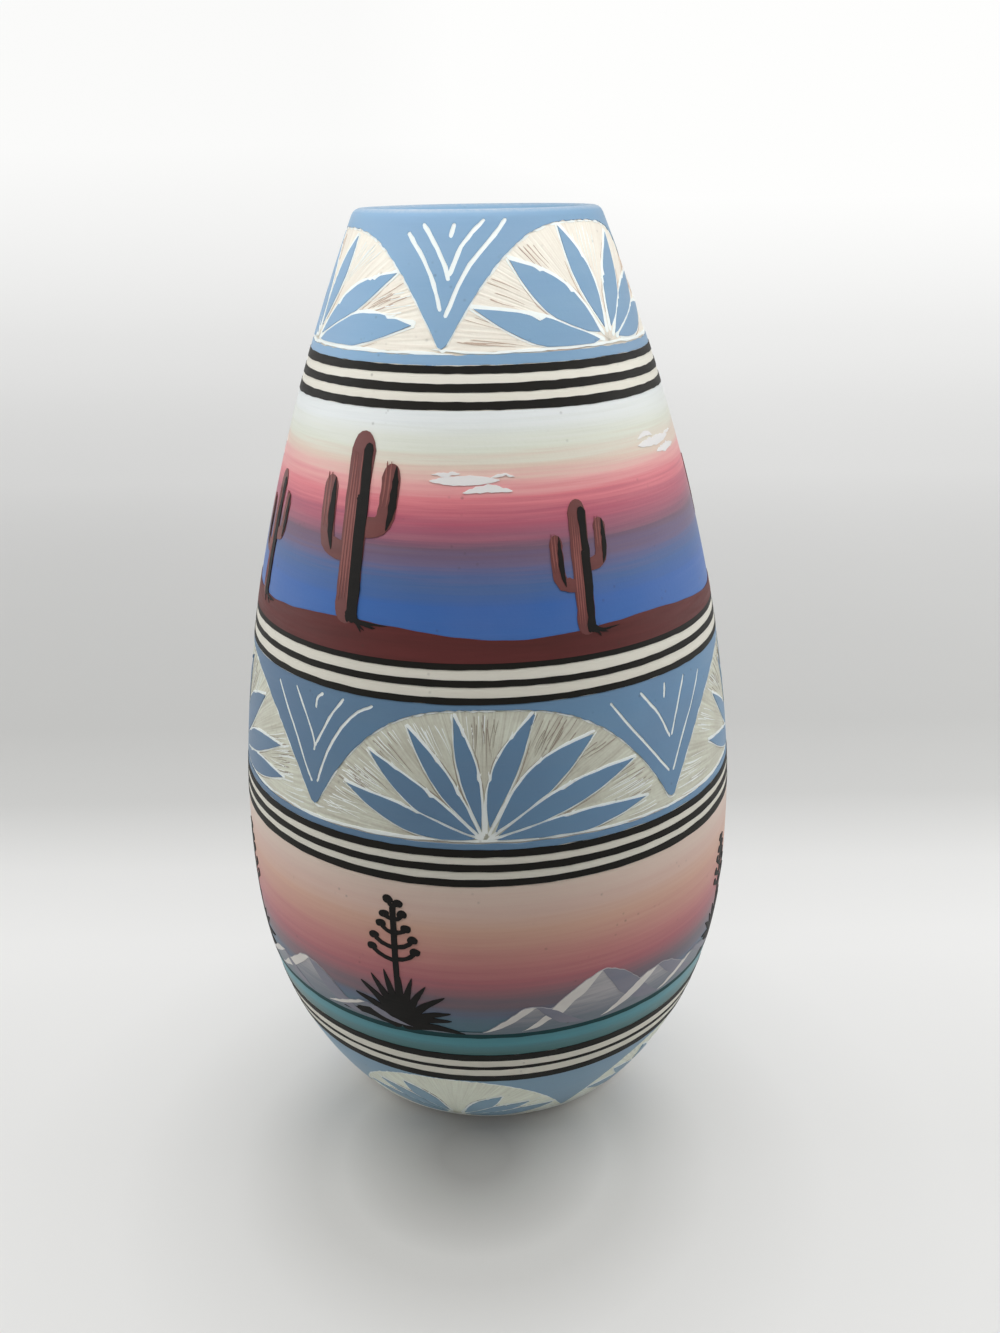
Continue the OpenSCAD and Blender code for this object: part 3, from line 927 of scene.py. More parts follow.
@dataclass(frozen=True)
class Palette:
    """Finishes of the vase."""

    clay: Finish = ClayFinish("bare_clay", (222, 212, 197), (206, 193, 176), 0.85, flecks=0.5)
    rim_etched: Finish = EtchedFinish("rim_etched_clay", (247, 243, 231), (232, 222, 208))
    middle_etched: Finish = EtchedFinish("middle_etched_clay", (228, 231, 215), (179, 172, 157))
    base_etched: Finish = EtchedFinish("base_etched_clay", (244, 249, 234), (214, 214, 200))
    scratch: Finish = ClayFinish("fresh_scratch", (251, 255, 253), (240, 246, 242))
    rim_hatch: Finish = ClayFinish("rim_dull_hatch", (208, 187, 171), (181, 158, 142))
    hatch: Finish = ClayFinish("dull_hatch", (170, 160, 146), (148, 137, 124))
    # turn paints side light into the blues: the rim darker towards +X, the middle band lighter towards +X.
    rim_blue: Finish = LipFinish(
        "rim_blue_paint", (122, 161, 194), (134, 169, 197), up=180.0,
        stain=(144, 165, 194), mottle=0.25, turn=-0.1,
    )
    middle_blue: Finish = Finish(
        "middle_blue_paint", (99, 136, 168), (109, 138, 164), up=180.0,
        stain=(86, 114, 150), mottle=0.45, turn=0.16,
    )
    base_blue: Finish = Finish(
        "base_blue_paint", (127, 163, 187), (135, 166, 185), up=180.0,
        stain=(118, 146, 178), mottle=0.4,
    )
    cream: Finish = Finish("cream_paint", (232, 229, 217), (222, 217, 203), 0.58)
    black: Finish = Finish(
        "black_line_paint", (20, 19, 16), (30, 28, 24), 0.55, around=30.0, sheen=0.0, gloss=0.12,
    )
    horizon: Finish = Finish(
        "horizon_paint", (16, 61, 65), (26, 69, 73), 0.55, around=30.0, sheen=0.0, gloss=0.12,
    )
    maroon: Finish = Finish(
        "red_earth_paint", (97, 46, 45), (78, 38, 36), 0.55, streak=0.9, around=20.0, sheen=0.0, gloss=0.2,
    )
    cactus: Finish = Finish("cactus_paint", (108, 56, 53), (84, 46, 45), 0.55, sheen=0.1)
    rib: Finish = Finish("cactus_rib_paint", (142, 84, 78), (122, 70, 66), 0.55, sheen=0.1)
    plant: Finish = Finish("plant_black_paint", (22, 21, 20), (32, 29, 27), 0.55, sheen=0.0, gloss=0.12)
    cloud: Finish = Finish("cloud_white_paint", (238, 236, 234), (222, 220, 222), 0.55)
    hill_light: Finish = Finish("hill_light_paint", (230, 226, 221), (210, 205, 202), 0.6)
    hill_shade: Finish = Finish("hill_shade_paint", (122, 124, 140), (140, 137, 148), 0.6)
    upper_sky: Finish = SkyFinish(
        "upper_sky_paint", (236, 214, 212), (120, 84, 112), streak=0.05, around=6.0,
        stain=(190, 170, 175), mottle=0.06, drift=4.0, stops=(
            (158.0, (48, 103, 175)), (165.0, (47, 99, 172)), (170.5, (64, 98, 151)),
            (174.5, (100, 92, 128)), (178.0, (104, 78, 101)), (181.5, (152, 86, 107)),
            (185.5, (178, 85, 106)), (189.5, (220, 122, 131)), (193.5, (232, 170, 167)),
            (197.5, (225, 205, 188)), (201.0, (223, 227, 212)), (208.0, (232, 238, 238)),
        ),
    )
    lower_sky: Finish = SkyFinish(
        "lower_sky_paint", (234, 204, 190), (124, 84, 90), streak=0.03, around=6.0,
        stain=(190, 150, 140), mottle=0.06, drift=3.2, stops=(
            (45.0, (74, 115, 131)), (50.5, (77, 113, 130)), (53.5, (88, 106, 131)),
            (57.0, (104, 95, 107)), (61.0, (146, 99, 109)), (65.5, (176, 101, 110)),
            (70.0, (196, 127, 125)), (75.0, (207, 152, 139)), (81.0, (218, 175, 155)),
            (87.0, (223, 193, 180)), (94.0, (228, 211, 197)),
        ),
    )
    teal: Finish = SkyFinish(
        "teal_paint", (96, 160, 168), (52, 92, 100), 0.5, streak=0.1, around=10.0, drift=1.2, stops=(
            (38.4, (54, 104, 106)), (40.5, (66, 124, 130)), (42.5, (68, 144, 158)), (45.2, (66, 140, 152)),
        ),
    )
    hills: Finish = SkyFinish(
        "hill_paint", (218, 213, 210), (112, 114, 130), streak=0.15,
        stain=(150, 150, 160), mottle=0.2, drift=5.0, stops=(
            (47.0, (96, 112, 124)), (51.0, (126, 131, 141)),
            (56.0, (164, 162, 168)), (64.0, (194, 190, 190)),
        ),
    )


class Shelf:
    """Hands finished pieces over to the scene, under the root body, in place of CAD parts."""

    @staticmethod
    def add(piece: Piece, finish: Finish, slot: str, *nodes: str) -> Piece:
        """Dresses a piece and puts it in place of CAD nodes.

        Args:
            piece: The finished piece.
            finish: Its finish.
            slot: Name of a material slot; not used.
            nodes: CAD nodes that it stands for.

        Returns:
            The same piece.
        """
        finish.dress(piece)
        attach(piece, ROOT)
        if nodes:
            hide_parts(*nodes)
        log.info("%s: %d faces", piece.name, len(piece.data.polygons))
        return piece


@dataclass
class ClayBody:
    """Hollow clay body: foot ring, wall, half-round lip, inside and floor."""

    wall: Wall
    floor_t: float = 7.0
    fillet: float = 10.0
    ring_w: float = 10.0
    recess: float = 1.5
    edge: float = 0.8
    columns: int = 240
    row_gap: float = 2.0
    ring_rows: int = 4
    lip_rows: int = 16
    fillet_rows: int = 8

    def profile(self) -> list[Flat]:
        """Draws the outline from the middle of the underside, round the lip, to the middle of the floor.

        Returns:
            Radius and height of its points.
        """
        wall = self.wall
        hollow = wall.foot_r - self.ring_w
        points = [(r, self.recess) for r in (0.0, 0.5 * hollow, hollow - self.recess)]
        brim = wall.radius(self.edge) - self.edge
        points += [(mix(hollow, brim, i / self.ring_rows), 0.0) for i in range(self.ring_rows + 1)]
        rows = round((wall.lip_z - self.edge) / self.row_gap)
        heights = [mix(self.edge, wall.lip_z, i / rows) for i in range(rows + 1)]
        points += [(wall.radius(z), z) for z in heights]
        points += [wall.lip(180.0 * i / self.lip_rows) for i in range(1, self.lip_rows + 1)]
        lean = math.atan(wall.slope(self.floor_t))
        tangent = self.fillet / math.tan(math.pi / 4.0 + lean / 2.0)
        middle = wall.bore(self.floor_t) - tangent
        top = self.floor_t + self.fillet * (1.0 - math.sin(lean))
        inside = wall.lip(180.0)[1]
        heights = [mix(inside, top, i / rows) for i in range(1, rows + 1)]
        points += [(wall.bore(z), z) for z in heights]
        for i in range(1, self.fillet_rows + 1):
            a = -lean - (math.pi / 2.0 - lean) * i / self.fillet_rows
            z = self.floor_t + self.fillet * (1.0 + math.sin(a))
            points.append((middle + self.fillet * math.cos(a), z))
        return points + [(0.5 * middle, self.floor_t), (0.0, self.floor_t)]

    def build(self) -> Piece:
        """Turns the outline round the axis.

        Returns:
            The piece.
        """
        points = self.profile()
        rows = len(points) - 1
        piece = Bench.grid("vase_clay_body", self.columns, rows)

        def place(u: float, v: float) -> Vector:
            """Place of a point, from its shares of the way round and along the outline."""
            r, z = points[round(v * rows)]
            return polar(r, 2.0 * math.pi * u, z)

        return Bench.smooth(Bench.weld(Bench.lay(piece, place)), angle=30.0)


@dataclass
class RingCoat:
    """Coat of paint right round the vase between two levels, with the stray of a hand at its edges."""

    name: str
    wall: Wall
    low: float
    high: float
    layer: Layer = Layer.COAT
    depth: float = COAT_T
    stray: float = 0.0
    jitter: float = 0.0
    seed: float = 0.0
    columns: int = 288
    row_gap: float = 1.5
    least_rows: int = 4

    def edge(self, azimuth: float, side: float) -> float:
        """How far an edge strays at an azimuth.

        Args:
            azimuth: Degrees round the vase.
            side: 0 is the lower edge, 1 the upper one.

        Returns:
            The stray, upwards.
        """
        slow = ring_noise(azimuth, 1.6, self.seed + 11.0 * side)
        quick = ring_noise(azimuth, 14.0, self.seed + 5.0 + 11.0 * side)
        return self.stray * slow + self.jitter * quick

    def build(self) -> Piece:
        """Lays a grid round the vase and thickens it.

        Returns:
            The piece.
        """

        def level(azimuth: float, share: float) -> float:
            """Level of a point at an azimuth and a share of the way up."""
            low, high = self.low + self.edge(azimuth, 0.0), self.high + self.edge(azimuth, 1.0)
            return mix(low, high, share)

        rows = max(self.least_rows, round((self.high - self.low) / self.row_gap))
        piece = Bench.grid(self.name, self.columns, rows)
        return self.wall.ring(piece, level, self.layer.value, self.depth)


@dataclass
class StripeBand:
    """Cream band with three dark lines painted over it."""

    name: str
    wall: Wall
    low: float
    widths: Triple
    gap: float
    seed: float

    @property
    def high(self) -> float:
        """Level of the top of the band."""
        return self.low + sum(self.widths) + 2.0 * self.gap

    def build(self, palette: Palette) -> None:
        """Makes the cream band and the lines.

        Args:
            palette: Finishes of the vase.
        """
        cream = RingCoat(f"{self.name}_cream", self.wall, self.low, self.high).build()
        Shelf.add(cream, palette.cream, "cream", f"{self.name}_cream_band")
        lines = []
        level = self.low
        for index, width in enumerate(self.widths):
            line = RingCoat(
                f"{self.name}_line", self.wall, level, level + width, Layer.LINE, LINE_T,
                stray=0.3, jitter=0.14, seed=self.seed + 31.0 * index, columns=360,
            )
            lines.append(line.build())
            level += width + self.gap
        piece = Bench.join(lines, f"{self.name}_painted_lines")
        Shelf.add(piece, palette.black, "line_black", f"{self.name}_lines")


@dataclass(frozen=True)
class Leaf:
    """One leaf left standing in a fan: its direction from the fan's right foot, ends, width and stray."""

    angle: float
    root: float
    tip: float
    width: float
    bow: float = 0.0
    skew: float = 1.0
    room: Flat = (20.0, 20.0)
    nicks: tuple[Flat, ...] = ()
    nick_run: float = 0.08

    @property
    def upper(self) -> float:
        """Side of the leaf that faces up: -1 is its right side, seen from the root, 1 its left side."""
        return 1.0 if self.angle < 90.0 else -1.0

    def nick(self, share: float) -> float:
        """How far the upper edge steps in at a place along the leaf, where a new scratch took over."""
        gone = ((share - start, depth) for start, depth in self.nicks)
        return sum(depth * (1.0 - run / self.nick_run) for run, depth in gone if 0.0 <= run < self.nick_run)

    def edge(self, share: float, side: float, extra: float = 0.0) -> Flat:
        """Point of the leaf in the fan's drawing.

        Args:
            share: Place along the leaf, from root to tip.
            side: -1 is the right edge, seen from the root, 1 the left edge.
            extra: How far outside the edge the point lies.

        Returns:
            The point, from the fan's centre.
        """
        held = min(max(share, 0.0), 1.0)
        full = 1.0 - (2.0 * held ** self.skew - 1.0) ** 2
        along = mix(self.root, self.tip, share)
        wedge = max(along * math.tan(math.radians(self.room[side > 0.0])) - 0.3, 0.0)
        half = min(0.5 * self.width * full ** 1.1 + self.bow * side * full, wedge)
        half = max(half - self.nick(held) * max(side * self.upper, 0.0), 0.0)
        across = side * half + math.copysign(extra, side)
        a = math.radians(self.angle)
        return (
            along * math.cos(a) - across * math.sin(a),
            along * math.sin(a) + across * math.cos(a),
        )


@dataclass
class Fan:
    """One fan between two chevron tips, with the rise of the tips and the drop of its arch."""

    apex: float
    left: float
    right: float
    rises: Flat
    drop: float
    leaves: list[Leaf] = field(default_factory=list)

    def half(self, azimuth: float) -> float:
        """Degrees from the apex to the tip on the side of an azimuth."""
        return self.apex - self.left if azimuth < self.apex else self.right - self.apex


@dataclass
class EtchedBand:
    """Blue coat with fans etched through it: field, border, standing leaves, bared clay and scratches."""

    name: str
    wall: Wall
    foot: float
    top: float
    roof: float
    fans: list[Fan]
    chevrons: list[tuple[float, list[list[Flat]]]]
    finish: Finish
    bared: Finish
    marked: Finish
    slot: str
    seed: int
    border: float | None = None
    power: float = 2.9
    blunt: float = 0.985
    scratch_w: float = 0.8
    outline_w: float = 0.55
    dull_marks: int = 60
    fresh_marks: int = 70
    mark_l: Flat = (4.0, 11.0)
    steps: int = 96
    rays: int = 470
    rings: int = 16

    def canvas(self, fan: Fan) -> Canvas:
        """Drawing place of a fan, from the middle of its foot."""
        return Canvas(self.wall, fan.apex, self.foot)

    def arch(self, fan: Fan, azimuth: float) -> float:
        """Level of a fan's arch at an azimuth.

        Args:
            fan: The fan.
            azimuth: Degrees round the vase.

        Returns:
            The level.
        """
        share = min(abs(azimuth - fan.apex) / (self.blunt * fan.half(azimuth)), 1.0)
        tip, top = self.foot + fan.rises[azimuth >= fan.apex], self.top - fan.drop
        return top - (top - tip) * share ** self.power

    def reach(self, fan: Fan, angle: float) -> float:
        """Distance from a fan's centre to its arch in a direction.

        Args:
            fan: The fan.
            angle: Degrees from the right foot of the fan.

        Returns:
            The distance along the drawing.
        """
        canvas = self.canvas(fan)
        a = math.radians(angle)
        low, high = 0.0, 90.0
        for _ in range(24):
            middle = 0.5 * (low + high)
            azimuth, z = canvas.spot(middle * math.cos(a), middle * math.sin(a))
            inside = fan.left < azimuth < fan.right and z < self.arch(fan, azimuth)
            low, high = (middle, high) if inside else (low, middle)
        return low

    def field_point(self, azimuth: float, low: float, share: float) -> Vector:
        """Place of a point of the blue field, at a share of the way up from the arch."""
        return self.wall.point(azimuth, mix(low, self.roof, share), Layer.COAT.value)

    def build_field(self) -> Piece:
        """Lays the blue coat down from the roof to the arches and cuts the chevrons' scratches through it.

        Returns:
            The piece.
        """
        count = len(self.fans)
        piece = Bench.grid(f"{self.name}_blue_coat", columns=count * self.steps, rows=14)

        def place(u: float, v: float) -> Vector:
            """Places a point of the coat.

            Args:
                u: Share of the way round.
                v: Share of the way up from the arches.

            Returns:
                The point in metres.
            """
            k = min(int(u * count + 1e-6), count - 1)
            fan = self.fans[k]
            across = 2.0 * min(max(u * count - k, 0.0), 1.0) - 1.0
            azimuth = fan.apex + across * fan.half(fan.apex + across)
            rag = 0.3 * ring_noise(azimuth, 40.0, self.seed)
            rag += 0.3 * ring_noise(azimuth, 110.0, self.seed + 3.0)
            low = self.arch(fan, azimuth) + rag * ease(abs(across), 1.0, 0.97)
            return self.field_point(azimuth, low, v)

        Bench.thicken(Bench.weld(Bench.lay(piece, place)), COAT_T)
        if self.chevrons:
            brush = Brush(columns=14)
            self.scratch_chevrons(brush, Layer.SHADE.value, 0.0)
            Bench.carve(piece, brush.finish("scratch_cutter", CUT_T))
        return Bench.smooth(piece)

    def scratch_chevrons(self, brush: Brush, layer: float, wider: float) -> None:
        """Draws the scratches of every chevron.

        Args:
            brush: What draws them.
            layer: How far they stand out from the clay.
            wider: What is added to their width.
        """
        for azimuth, strokes in self.chevrons:
            canvas = Canvas(self.wall, azimuth, self.roof)
            for points in strokes:
                brush.stroke(canvas, points, self.scratch_w + wider, layer, shake=0.22)

    def build_leaves(self) -> Piece:
        """Copies one leaf blade to every place in the fans.

        Returns:
            The piece.
        """
        blade = Bench.grid("leaf_blade", columns=56, rows=4)
        blades = []
        for k, fan in enumerate(self.fans):
            canvas = self.canvas(fan)
            for j, leaf in enumerate(fan.leaves):
                seed = 17.0 * k + 3.1 * j + self.seed

                def place(u: float, v: float) -> Vector:
                    """Places a point of the blade.

                    Args:
                        u: Share of the way along the leaf.
                        v: Share of the way across it.

                    Returns:
                        The point in metres.
                    """
                    share = 0.5 - 0.5 * math.cos(math.pi * u)
                    shake = 0.22 * noise.noise(Vector((9.0 * share, 2.0 * v, seed)))
                    shake *= math.sin(math.pi * share)
                    x, y = leaf.edge(share, 2.0 * v - 1.0)
                    a = math.radians(leaf.angle)
                    return canvas.at(x - shake * math.sin(a), y + shake * math.cos(a), Layer.COAT.value)

                blades.append(Bench.lay(Bench.copy(blade), place))
        Bench.scrap(blade)
        return Bench.coat(Bench.join(blades, f"{self.name}_standing_leaves"), COAT_T)

    def build_ground(self) -> Piece:
        """Lays a fan-shaped lattice in every fan, with the relief of the strokes that bared the clay.

        Returns:
            The piece.
        """
        lattice = Bench.grid("etched_lattice", self.rays, self.rings)
        grounds = []
        for k, fan in enumerate(self.fans):
            canvas = self.canvas(fan)
            reaches = [self.reach(fan, 180.0 * i / self.rays) + 0.5 for i in range(self.rays + 1)]
            piece = Bench.copy(lattice)
            values = []

            def place(u: float, v: float) -> Vector:
                """Places a point of the lattice and keeps how freshly it is scratched.

                Args:
                    u: Share of the way round the fan, from its left foot.
                    v: Share of the way out from its centre.

                Returns:
                    The point in metres.
                """
                angle = 180.0 * (1.0 - u)
                far = v ** 0.85
                out = reaches[round(angle / 180.0 * self.rays)] * far
                stroke = self.stroke_at(angle, out, far, 40.0 * k + self.seed)
                values.append(stroke)
                a = math.radians(angle)
                lift = Layer.GROUND.value - 0.14 * (stroke - 0.5)
                return canvas.at(out * math.cos(a), out * math.sin(a), lift)

            Bench.lay(piece, place)
            piece.data.attributes.new("stroke", "FLOAT", "POINT").data.foreach_set("value", values)
            grounds.append(piece)
        Bench.scrap(lattice)
        return Bench.coat(Bench.join(grounds, f"{self.name}_etched_ground"), BED_T, angle=60.0)

    def stroke_at(self, angle: float, out: float, far: float, seed: float) -> float:
        """How freshly the clay is scratched at a place of a fan.

        Args:
            angle: Direction from the fan's centre.
            out: Distance from the fan's centre.
            far: That distance as a share of the way to the arch.
            seed: Which fan.

        Returns:
            From 0, dull, to 1, fresh.
        """
        sway = 3.0 * noise.noise(Vector((angle * 0.03, out * 0.02, seed + 9.0)))
        line = noise.noise(Vector(((angle + sway) * 1.05, out * 0.06, seed)))
        hair = noise.noise(Vector(((angle + sway) * 2.2, out * 0.1, seed + 4.0)))
        patch = noise.noise(Vector((angle * 0.05, out * 0.12, seed + 14.0)))
        marked = mix(0.45, 1.0, ease(far, 0.35, 0.9))
        return min(max(0.58 + 0.25 * patch + marked * (0.42 * line + 0.4 * hair), 0.0), 1.0)

    def hatch(self, brush: Brush, fan: Fan, count: int, width: Flat, rng: random.Random) -> None:
        """Scratches short lines from a fan's arch towards its centre, a few side by side at a time.

        Args:
            brush: What draws them.
            fan: The fan.
            count: How many there are.
            width: Least and greatest width.
            rng: Stray of the hand.
        """
        canvas = self.canvas(fan)
        angles = [leaf.angle for leaf in fan.leaves]
        gaps = [0.5 * (a + b) for a, b in zip([2.0, *angles], [*angles, 178.0])]
        drawn = 0
        while drawn < count:
            angle = min(max(rng.choice(gaps) + rng.gauss(0.0, 4.0), 2.0), 176.0)
            lean = rng.gauss(0.0, 4.0)
            for _ in range(rng.randint(3, 6)):
                far = self.reach(fan, angle) * rng.uniform(0.86, 0.99)
                length = min(rng.uniform(*self.mark_l), 0.7 * far)
                a, b = math.radians(angle), math.radians(angle + lean + rng.gauss(0.0, 1.5))
                start = (far * math.cos(a), far * math.sin(a))
                end = (start[0] - length * math.cos(b), max(start[1] - length * math.sin(b), 0.2))
                bend = rng.uniform(-0.25, 0.25)
                middle = (
                    mix(start[0], end[0], 0.5) - bend * math.sin(b),
                    mix(start[1], end[1], 0.5) + bend * math.cos(b),
                )
                wide = rng.uniform(*width)
                brush.stroke(canvas, [start, middle, end], wide, Layer.MARK.value, Tip.TAPERED)
                drawn += 1
                angle = min(angle + rng.uniform(50.0, 110.0) / far, 177.0)

    def shade_leaf_edges(self, brush: Brush, fan: Fan, rng: random.Random) -> None:
        """Draws dull lines beside the leaves, outside their white lines, as painted shade along the leaves'
        raised edges.

        Args:
            brush: What draws them.
            fan: The fan.
            rng: Stray of the hand.
        """
        canvas = self.canvas(fan)
        for leaf in fan.leaves:
            for side in (-1.0, 1.0):
                low, high = rng.uniform(0.08, 0.3), rng.uniform(0.5, 0.9)
                out = 0.3 + 0.5 * self.outline_w + rng.uniform(0.0, 0.3)
                points = [leaf.edge(mix(low, high, k / 4.0), side, out) for k in range(5)]
                wide = rng.uniform(0.16, 0.34)
                brush.stroke(canvas, points, wide, Layer.MARK.value, Tip.POINTED, shake=0.08)

    def outline(self, brush: Brush, fan: Fan, rng: random.Random) -> None:
        """Scratches the white lines round the leaves of a fan and along its arch.

        Args:
            brush: What draws them.
            fan: The fan.
            rng: Stray of the hand.
        """
        canvas = self.canvas(fan)
        bed = Layer.BED.value
        for leaf in fan.leaves:
            # The white line on a leaf's upper side is scratched clay drawn wider, partly a painted
            # highlight where the groove faces the light from above.
            sides = ((leaf.upper, self.outline_w + 0.25, -0.06), (-leaf.upper, 0.55 * self.outline_w, 0.02))
            for side, width, start in sides:
                shares = (start, 0.2, 0.4, 0.6, 0.8, 1.03)
                points = [leaf.edge(s, side, 0.22 + rng.uniform(-0.08, 0.14)) for s in shares]
                brush.stroke(canvas, points, width, bed, Tip.ROUND, shake=0.24)
            for share, depth in leaf.nicks:
                path = ((-0.12, 1.0), (0.0, 1.6), (0.07, 3.4))
                points = [leaf.edge(share + run, leaf.upper, 0.3 * out) for run, out in path]
                brush.stroke(canvas, points, 0.7 * depth + 0.25, bed, Tip.POINTED, shake=0.15)
        azimuth = fan.left + 1.5
        while azimuth < fan.right - 1.5:
            step = rng.uniform(2.4, 6.0)
            points = []
            for mark in (azimuth, azimuth + 0.5 * step, azimuth + step):
                z = self.arch(fan, mark) - 0.3
                points.append((math.radians(mark - fan.apex) * self.wall.radius(z), z - self.foot))
            brush.stroke(canvas, points, rng.uniform(0.3, 0.65), bed, Tip.POINTED, shake=0.15)
            azimuth += step * rng.uniform(0.9, 1.4)

    def base_line(self, brush: Brush, rng: random.Random) -> None:
        """Scratches the line that the fans stand on, in long strokes that overlap.

        Args:
            brush: What draws it.
            rng: Stray of the hand.
        """
        for azimuth in range(0, 360, 20):
            canvas = Canvas(self.wall, azimuth, self.foot)
            half = math.radians(rng.uniform(11.0, 16.0)) * self.wall.radius(self.foot)
            points = [
                (-half, rng.uniform(-0.7, 0.5)),
                (0.0, rng.uniform(-0.5, 0.2)),
                (half, rng.uniform(-0.7, 0.5)),
            ]
            brush.stroke(canvas, points, rng.uniform(0.6, 1.0), Layer.BED.value, Tip.POINTED, shake=0.3)

    def build_scratches(self) -> Piece:
        """Scratches all that shows fresh clay: outlines, base line, beds of chevrons and light hatching.

        Returns:
            The piece.
        """
        rng = random.Random(self.seed)
        brush = Brush(columns=18)
        for fan in self.fans:
            self.outline(brush, fan, rng)
        self.base_line(brush, rng)
        self.scratch_chevrons(brush, Layer.BED.value, 0.5)
        lines = brush.finish("lines", BED_T)
        hairs = Brush(columns=6, rows=1)
        for fan in self.fans:
            self.hatch(hairs, fan, self.fresh_marks, (0.16, 0.36), rng)
        return Bench.join([lines, hairs.finish("hairs", HAIR_T)], f"{self.name}_scratched_lines")

    def build_marks(self) -> Piece:
        """Draws the dull hatching of every fan and the painted shade lines beside its leaves.

        Returns:
            The piece.
        """
        rng = random.Random(self.seed + 60)
        brush = Brush(columns=6, rows=1)
        for fan in self.fans:
            self.hatch(brush, fan, self.dull_marks, (0.14, 0.34), rng)
            self.shade_leaf_edges(brush, fan, rng)
        return brush.finish(f"{self.name}_dull_hatching", HAIR_T)

    def build(self, palette: Palette) -> None:
        """Makes the band's pieces.

        Args:
            palette: Finishes of the vase.
        """
        Shelf.add(self.build_field(), self.finish, self.slot, f"{self.name}_blue_field")
        Shelf.add(self.build_leaves(), self.finish, self.slot, f"{self.name}_blue_leaves")
        Shelf.add(self.build_ground(), self.bared, "clay")
        Shelf.add(self.build_scratches(), palette.scratch, "clay")
        Shelf.add(self.build_marks(), self.marked, "clay")
        if self.border is not None:
            border = RingCoat(
                f"{self.name}_blue_edge", self.wall, self.border, self.foot - 0.75,
                stray=0.1, jitter=0.3, seed=self.seed + 50.0, columns=480,
            )
            Shelf.add(border.build(), self.finish, self.slot, f"{self.name}_blue_border")


@dataclass
class RimBand(EtchedBand):
    """Etched band at the rim, whose blue coat goes on round the lip."""

    cover: float = 130.0

    def field_point(self, azimuth: float, low: float, share: float) -> Vector:
        """Place of a point of the blue field: up the wall for half of the way, then round the lip.

        Args:
            azimuth: Degrees round the vase.
            low: Level of the arch there.
            share: Share of the way from the arch to the coat's end inside the lip.

        Returns:
            The point in metres.
        """
        if share <= 0.5:
            return self.wall.point(azimuth, mix(low, self.wall.lip_z, 2.0 * share), Layer.COAT.value)
        far = 2.0 * share - 1.0
        sweep = self.cover * far + 2.0 * ring_noise(azimuth, 6.0, 3.0) * far
        r, z = self.wall.lip(sweep, Layer.COAT.value)
        return polar(r, math.radians(azimuth), z)


def leaf_set(plans: Sequence[LeafPlan], nick: float, rng: random.Random) -> list[Leaf]:
    """Makes the leaves of one fan, each kept to its own wedge.

    Args:
        plans: Direction, length, width and bow of each leaf.
        nick: Greatest step in a leaf's upper edge.
        rng: Stray of the hand.

    Returns:
        The leaves.
    """
    walls = [0.0]
    for near, beyond in zip(plans, plans[1:]):
        left, right = 0.5 * near[2] + near[3], 0.5 * beyond[2] - beyond[3]
        walls.append(mix(near[0], beyond[0], left / (left + right)))
    walls.append(180.0)
    leaves = []
    for j, (angle, length, width, bow) in enumerate(plans):
        count = rng.randint(1, 3)
        nicks = tuple((rng.uniform(0.25, 0.85), rng.uniform(0.4, 1.0) * nick) for _ in range(count))
        leaves.append(Leaf(
            angle, root=rng.uniform(2.4, 4.2), tip=length, width=width, bow=bow,
            skew=rng.uniform(0.9, 1.08), room=(angle - walls[j], walls[j + 1] - angle), nicks=nicks,
        ))
    return leaves


def fan_row(
    tips: Sequence[float],
    rises: Sequence[float],
    apexes: Sequence[float],
    pattern: Sequence[LeafPlan],
    seed: int,
    exact: dict[int, Sequence[LeafPlan]],
    nick: float,
    drops: Sequence[float] = (0.0,),
) -> list[Fan]:
    """Makes a row of fans, each a little unlike the last.

    Args:
        tips: Azimuths of the chevron tips, going round.
        rises: Heights of those tips over the fans' foot.
        apexes: Azimuths of the fans' centres.
        pattern: Direction, length, width and bow of each leaf.
        seed: Seed of the hand's stray.
        exact: Patterns of the fans that are seen best, by the fan's index, which are taken as they are.
        nick: Greatest step in a leaf's upper edge.
        drops: Drops of the fans' arches below the top of the band.

    Returns:
        The fans.
    """
    rng = random.Random(seed)
    fans = []
    for k, apex in enumerate(apexes):
        right = tips[k + 1] if k + 1 < len(tips) else tips[0] + 360.0
        plans = exact.get(k) or [
            (
                angle + rng.gauss(0.0, 1.5),
                length * rng.uniform(0.94, 1.03),
                width * rng.uniform(0.9, 1.08),
                bow,
            )
            for angle, length, width, bow in pattern
        ]
        ends = rises[k], rises[(k + 1) % len(rises)]
        fans.append(Fan(apex, tips[k], right, ends, drops[k % len(drops)], leaf_set(plans, nick, rng)))
    return fans


@dataclass
class DuneGround:
    """Strip of red earth with low dunes at the foot of the upper sky."""

    wall: Wall
    low: float = UPPER_SKY_LOW
    level: float = DUNE_LEVEL
    dune: float = 2.4

    @property
    def middle(self) -> float:
        """Level half way up the strip, where the plants' heights are measured from."""
        return mix(self.low, self.level, 0.5)

    def crest(self, azimuth: float) -> float:
        """Level of the top of the dunes.

        Args:
            azimuth: Degrees round the vase.

        Returns:
            The level.
        """
        a = math.radians(azimuth)
        wave = math.sin(3.0 * a + math.radians(20.0)) * math.sin(2.0 * a - math.radians(50.0))
        return self.level + self.dune * wave + 0.25 * ring_noise(azimuth, 9.0, 4.0)

    def build(self, palette: Palette) -> None:
        """Lays the strip over the sky.

        Args:
            palette: Finishes of the vase.
        """

        def level(azimuth: float, share: float) -> float:
            """Level of a point at an azimuth and a share of the way up."""
            return mix(self.low - 0.2, self.crest(azimuth), share)

        piece = Bench.grid("red_earth_strip", columns=360, rows=5)
        self.wall.ring(piece, level, Layer.OVER.value - 0.03, OVER_T)
        Shelf.add(piece, palette.maroon, "red_earth", "red_ground")


